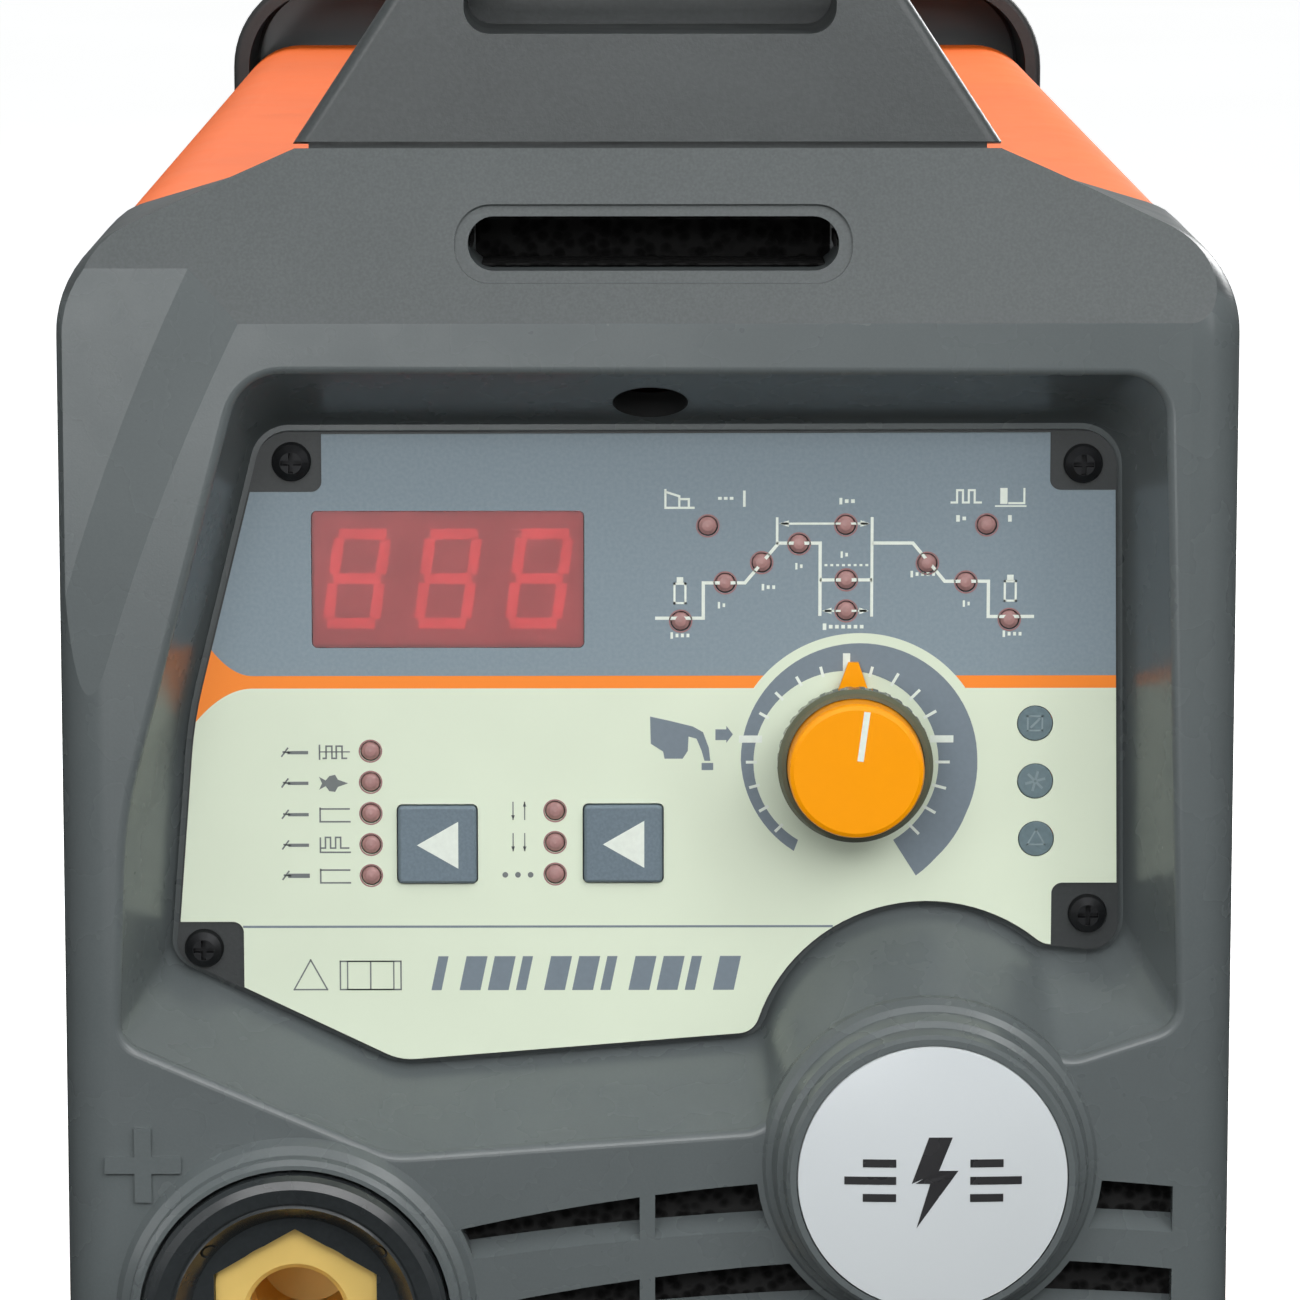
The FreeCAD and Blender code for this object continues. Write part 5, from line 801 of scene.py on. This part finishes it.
# a plain mark on the badge: a bolt between rows of short bars
BADGE = (38.4, 102.2)
DISC_RADIUS = 18.2
DISC_TOP = -9.4        # depth of the middle of the domed disc
BOLT = (
    ((-0.6, 6.0), (2.6, 6.0), (0.7, 1.2), (-2.9, -0.4)),
    ((0.4, 1.4), (3.4, 1.4), (-2.2, -6.6), (-0.4, -0.4), (-2.4, -0.4)),
)
ROWS = ((2.4, 9.5), (0.0, 12.0), (-2.4, 9.5))     # height over the middle, and reach to each side
ROW_START = 5.0
ROW_PIECE = 2.4        # a row is laid in short pieces, which follow the dome
ROW_HALF = 0.55


def on_disc(x, z):
    """The depth of the domed disc at a place."""
    return DISC_TOP + ((x - BADGE[0]) ** 2 + (z - BADGE[1]) ** 2) / DISC_RADIUS ** 2 + 0.02


badge_mark = [[(BADGE[0] + x, BADGE[1] + z) for x, z in outline] for outline in BOLT]
for side in (-1, 1):
    for row, reach in ROWS:
        start = ROW_START
        while start < reach:
            stop = min(start + ROW_PIECE, reach)
            badge_mark.append(rectangle(*sorted((BADGE[0] + side * start, BADGE[0] + side * stop)),
                                        BADGE[1] + row - ROW_HALF, BADGE[1] + row + ROW_HALF))
            start += ROW_PIECE
slab("badge_mark", badge_mark, on_disc, BADGE_INK, 0.09, "root")

# the display's digits, with every segment in place, all glowing faintly as painted light
DIGIT_COLUMNS = (-39.9, -27.4, -14.9)
DIGIT_MIDDLE = 180.5
DIGIT_LEAN = math.tan(math.radians(8))
HALF_WIDE = 3.2
HALF_HIGH = 6.2
STROKE = 1.5
LEVEL_GAP = 0.7        # between a level segment's end and the digit's side
UPRIGHT_GAP = 1.4      # between an upright segment's end and the level segments
digits = []
for digit_x in DIGIT_COLUMNS:
    for level in (-1, 0, 1):
        shift = level * HALF_HIGH * DIGIT_LEAN
        height = DIGIT_MIDDLE + level * HALF_HIGH
        digits.append(bar(digit_x + shift - HALF_WIDE + LEVEL_GAP, height,
                          digit_x + shift + HALF_WIDE - LEVEL_GAP, height, STROKE))
    for side in (-1, 1):
        for level in (-1, 1):
            low = UPRIGHT_GAP * level
            high = (HALF_HIGH - UPRIGHT_GAP) * level
            digits.append(bar(digit_x + side * HALF_WIDE + low * DIGIT_LEAN, DIGIT_MIDDLE + low,
                              digit_x + side * HALF_WIDE + high * DIGIT_LEAN, DIGIT_MIDDLE + high, STROKE))
slab("display_digits", digits, FILM + 1.28, SEGMENT, 0.08, "root")

# ---------------------------------------------------------------- floor, light and camera
FLOOR_HALF = 8.0       # in metres, as the wall's sizes are
WALL_RADIUS = 7.9
WALL_HEIGHT = 8.0
WALL_SIDES = 64


def staging_mesh(name, corners, faces):
    """An object round the machine, which neither lights nor mirrors in it."""
    data = bpy.data.meshes.new(name)
    data.from_pydata(corners, [], faces)
    data.materials.append(paper.material)
    staging = bpy.data.objects.new(name, data)
    bpy.context.scene.collection.objects.link(staging)
    staging.visible_diffuse = False
    staging.visible_glossy = False
    return staging


paper = Surface("pale_floor")
paper_tone = paper.mix(paper.noise(400.0, 2.0), rgb(0.88, 0.88, 0.88), rgb(0.92, 0.92, 0.92))
paper.set("Base Color", paper_tone)
paper.set("Emission Color", paper_tone)
paper.set("Emission Strength", 0.8)
paper.set("Roughness", 0.9)
staging_mesh("floor", [(-FLOOR_HALF, -FLOOR_HALF, 0), (FLOOR_HALF, -FLOOR_HALF, 0),
                       (FLOOR_HALF, FLOOR_HALF, 0), (-FLOOR_HALF, FLOOR_HALF, 0)], [(0, 1, 2, 3)])
rim = round_patch(0.0, 0.0, WALL_RADIUS, WALL_SIDES)
wall_faces = [(k, (k + 1) % WALL_SIDES, (k + 1) % WALL_SIDES + WALL_SIDES, k + WALL_SIDES)
              for k in range(WALL_SIDES)]
round_wall = staging_mesh("round_wall", [(x, y, 0.0) for x, y in rim] + [(x, y, WALL_HEIGHT) for x, y in rim],
                          wall_faces)
round_wall.visible_shadow = False


def soft_light(name, location, target, width, height, power):
    """A rectangular softbox."""
    data = bpy.data.lights.new(name, "AREA")
    data.shape = "RECTANGLE"
    data.size = width
    data.size_y = height
    data.energy = power
    lamp = bpy.data.objects.new(name, data)
    lamp.location = location
    lamp.rotation_euler = (Vector(target) - Vector(location)).to_track_quat("-Z", "Y").to_euler()
    bpy.context.scene.collection.objects.link(lamp)


WORLD_LOW = 0.012              # strength of the room's light near the ground and overhead
WORLD_HIGH = 0.31
WORLD_FADE = (-0.25, 0.45)     # how far up a direction points where the light grows


def studio_world():
    """A grey room: lighter overhead, darker near the ground."""
    world = bpy.data.worlds.new("studio")
    world.use_nodes = True
    tree = world.node_tree
    where = tree.nodes.new("ShaderNodeTexCoord")
    parts = tree.nodes.new("ShaderNodeSeparateXYZ")
    tree.links.new(where.outputs["Generated"], parts.inputs[0])
    upward = tree.nodes.new("ShaderNodeMapRange")
    upward.interpolation_type = "SMOOTHSTEP"
    tree.links.new(parts.outputs["Z"], upward.inputs["Value"])
    for name, number in (("From Min", WORLD_FADE[0]), ("From Max", WORLD_FADE[1]),
                         ("To Min", WORLD_LOW), ("To Max", WORLD_HIGH)):
        upward.inputs[name].default_value = number
    background = tree.nodes["Background"]
    background.inputs["Color"].default_value = rgb(0.97, 1.0, 1.0)
    tree.links.new(upward.outputs["Result"], background.inputs["Strength"])
    bpy.context.scene.world = world


studio_world()

# name, place and target in metres, width and height in metres, and power in watts
LIGHTS = (
    ("cover_top", (0.0, 0.6, 1.15), (0.0, 0.1, 0.2), 1.0, 0.6, 9.0),
    ("right_rear", (1.1, 1.2, 0.8), (0.0, 0.1, 0.2), 0.8, 0.6, 16.0),
    ("key", (0.0, -0.95, 0.58), (0.0, -0.2, 0.18), 0.9, 0.35, 5.0),
    ("top_front", (0.0, -0.6, 1.1), (0.0, -0.2, 0.2), 0.8, 0.4, 1.8),
    ("right_high", (0.6, -0.8, 0.9), (0.0, -0.2, 0.2), 0.4, 0.4, 2.4),
    ("right_front", (1.0, -1.0, 0.5), (0.0, -0.2, 0.15), 0.3, 0.6, 2.0),
    ("left_front", (-0.85, -1.1, 0.42), (0.0, -0.2, 0.15), 0.4, 0.5, 0.5),
    ("left_side", (-1.3, -0.5, 0.5), (0.0, -0.2, 0.2), 0.6, 0.6, 1.8),
    ("low_front", (-0.2, -1.2, 0.14), (0.0, -0.2, 0.21), 0.4, 0.06, 1.0),
)
for light in LIGHTS:
    soft_light(*light)

# the photo's viewpoint
camera_data = bpy.data.cameras.new("camera")
camera_data.sensor_width = 36.0
camera_data.lens = 164.6
camera_data.clip_end = 100.0
camera = bpy.data.objects.new("camera", camera_data)
camera.location = (-4.48 * MM, -998.9 * MM, 306.1 * MM)
camera.rotation_euler = Vector((0.00585, 0.98612, -0.16591)).to_track_quat("-Z", "Y").to_euler()
bpy.context.scene.collection.objects.link(camera)
bpy.context.scene.camera = camera
bpy.context.scene.view_settings.view_transform = "Standard"
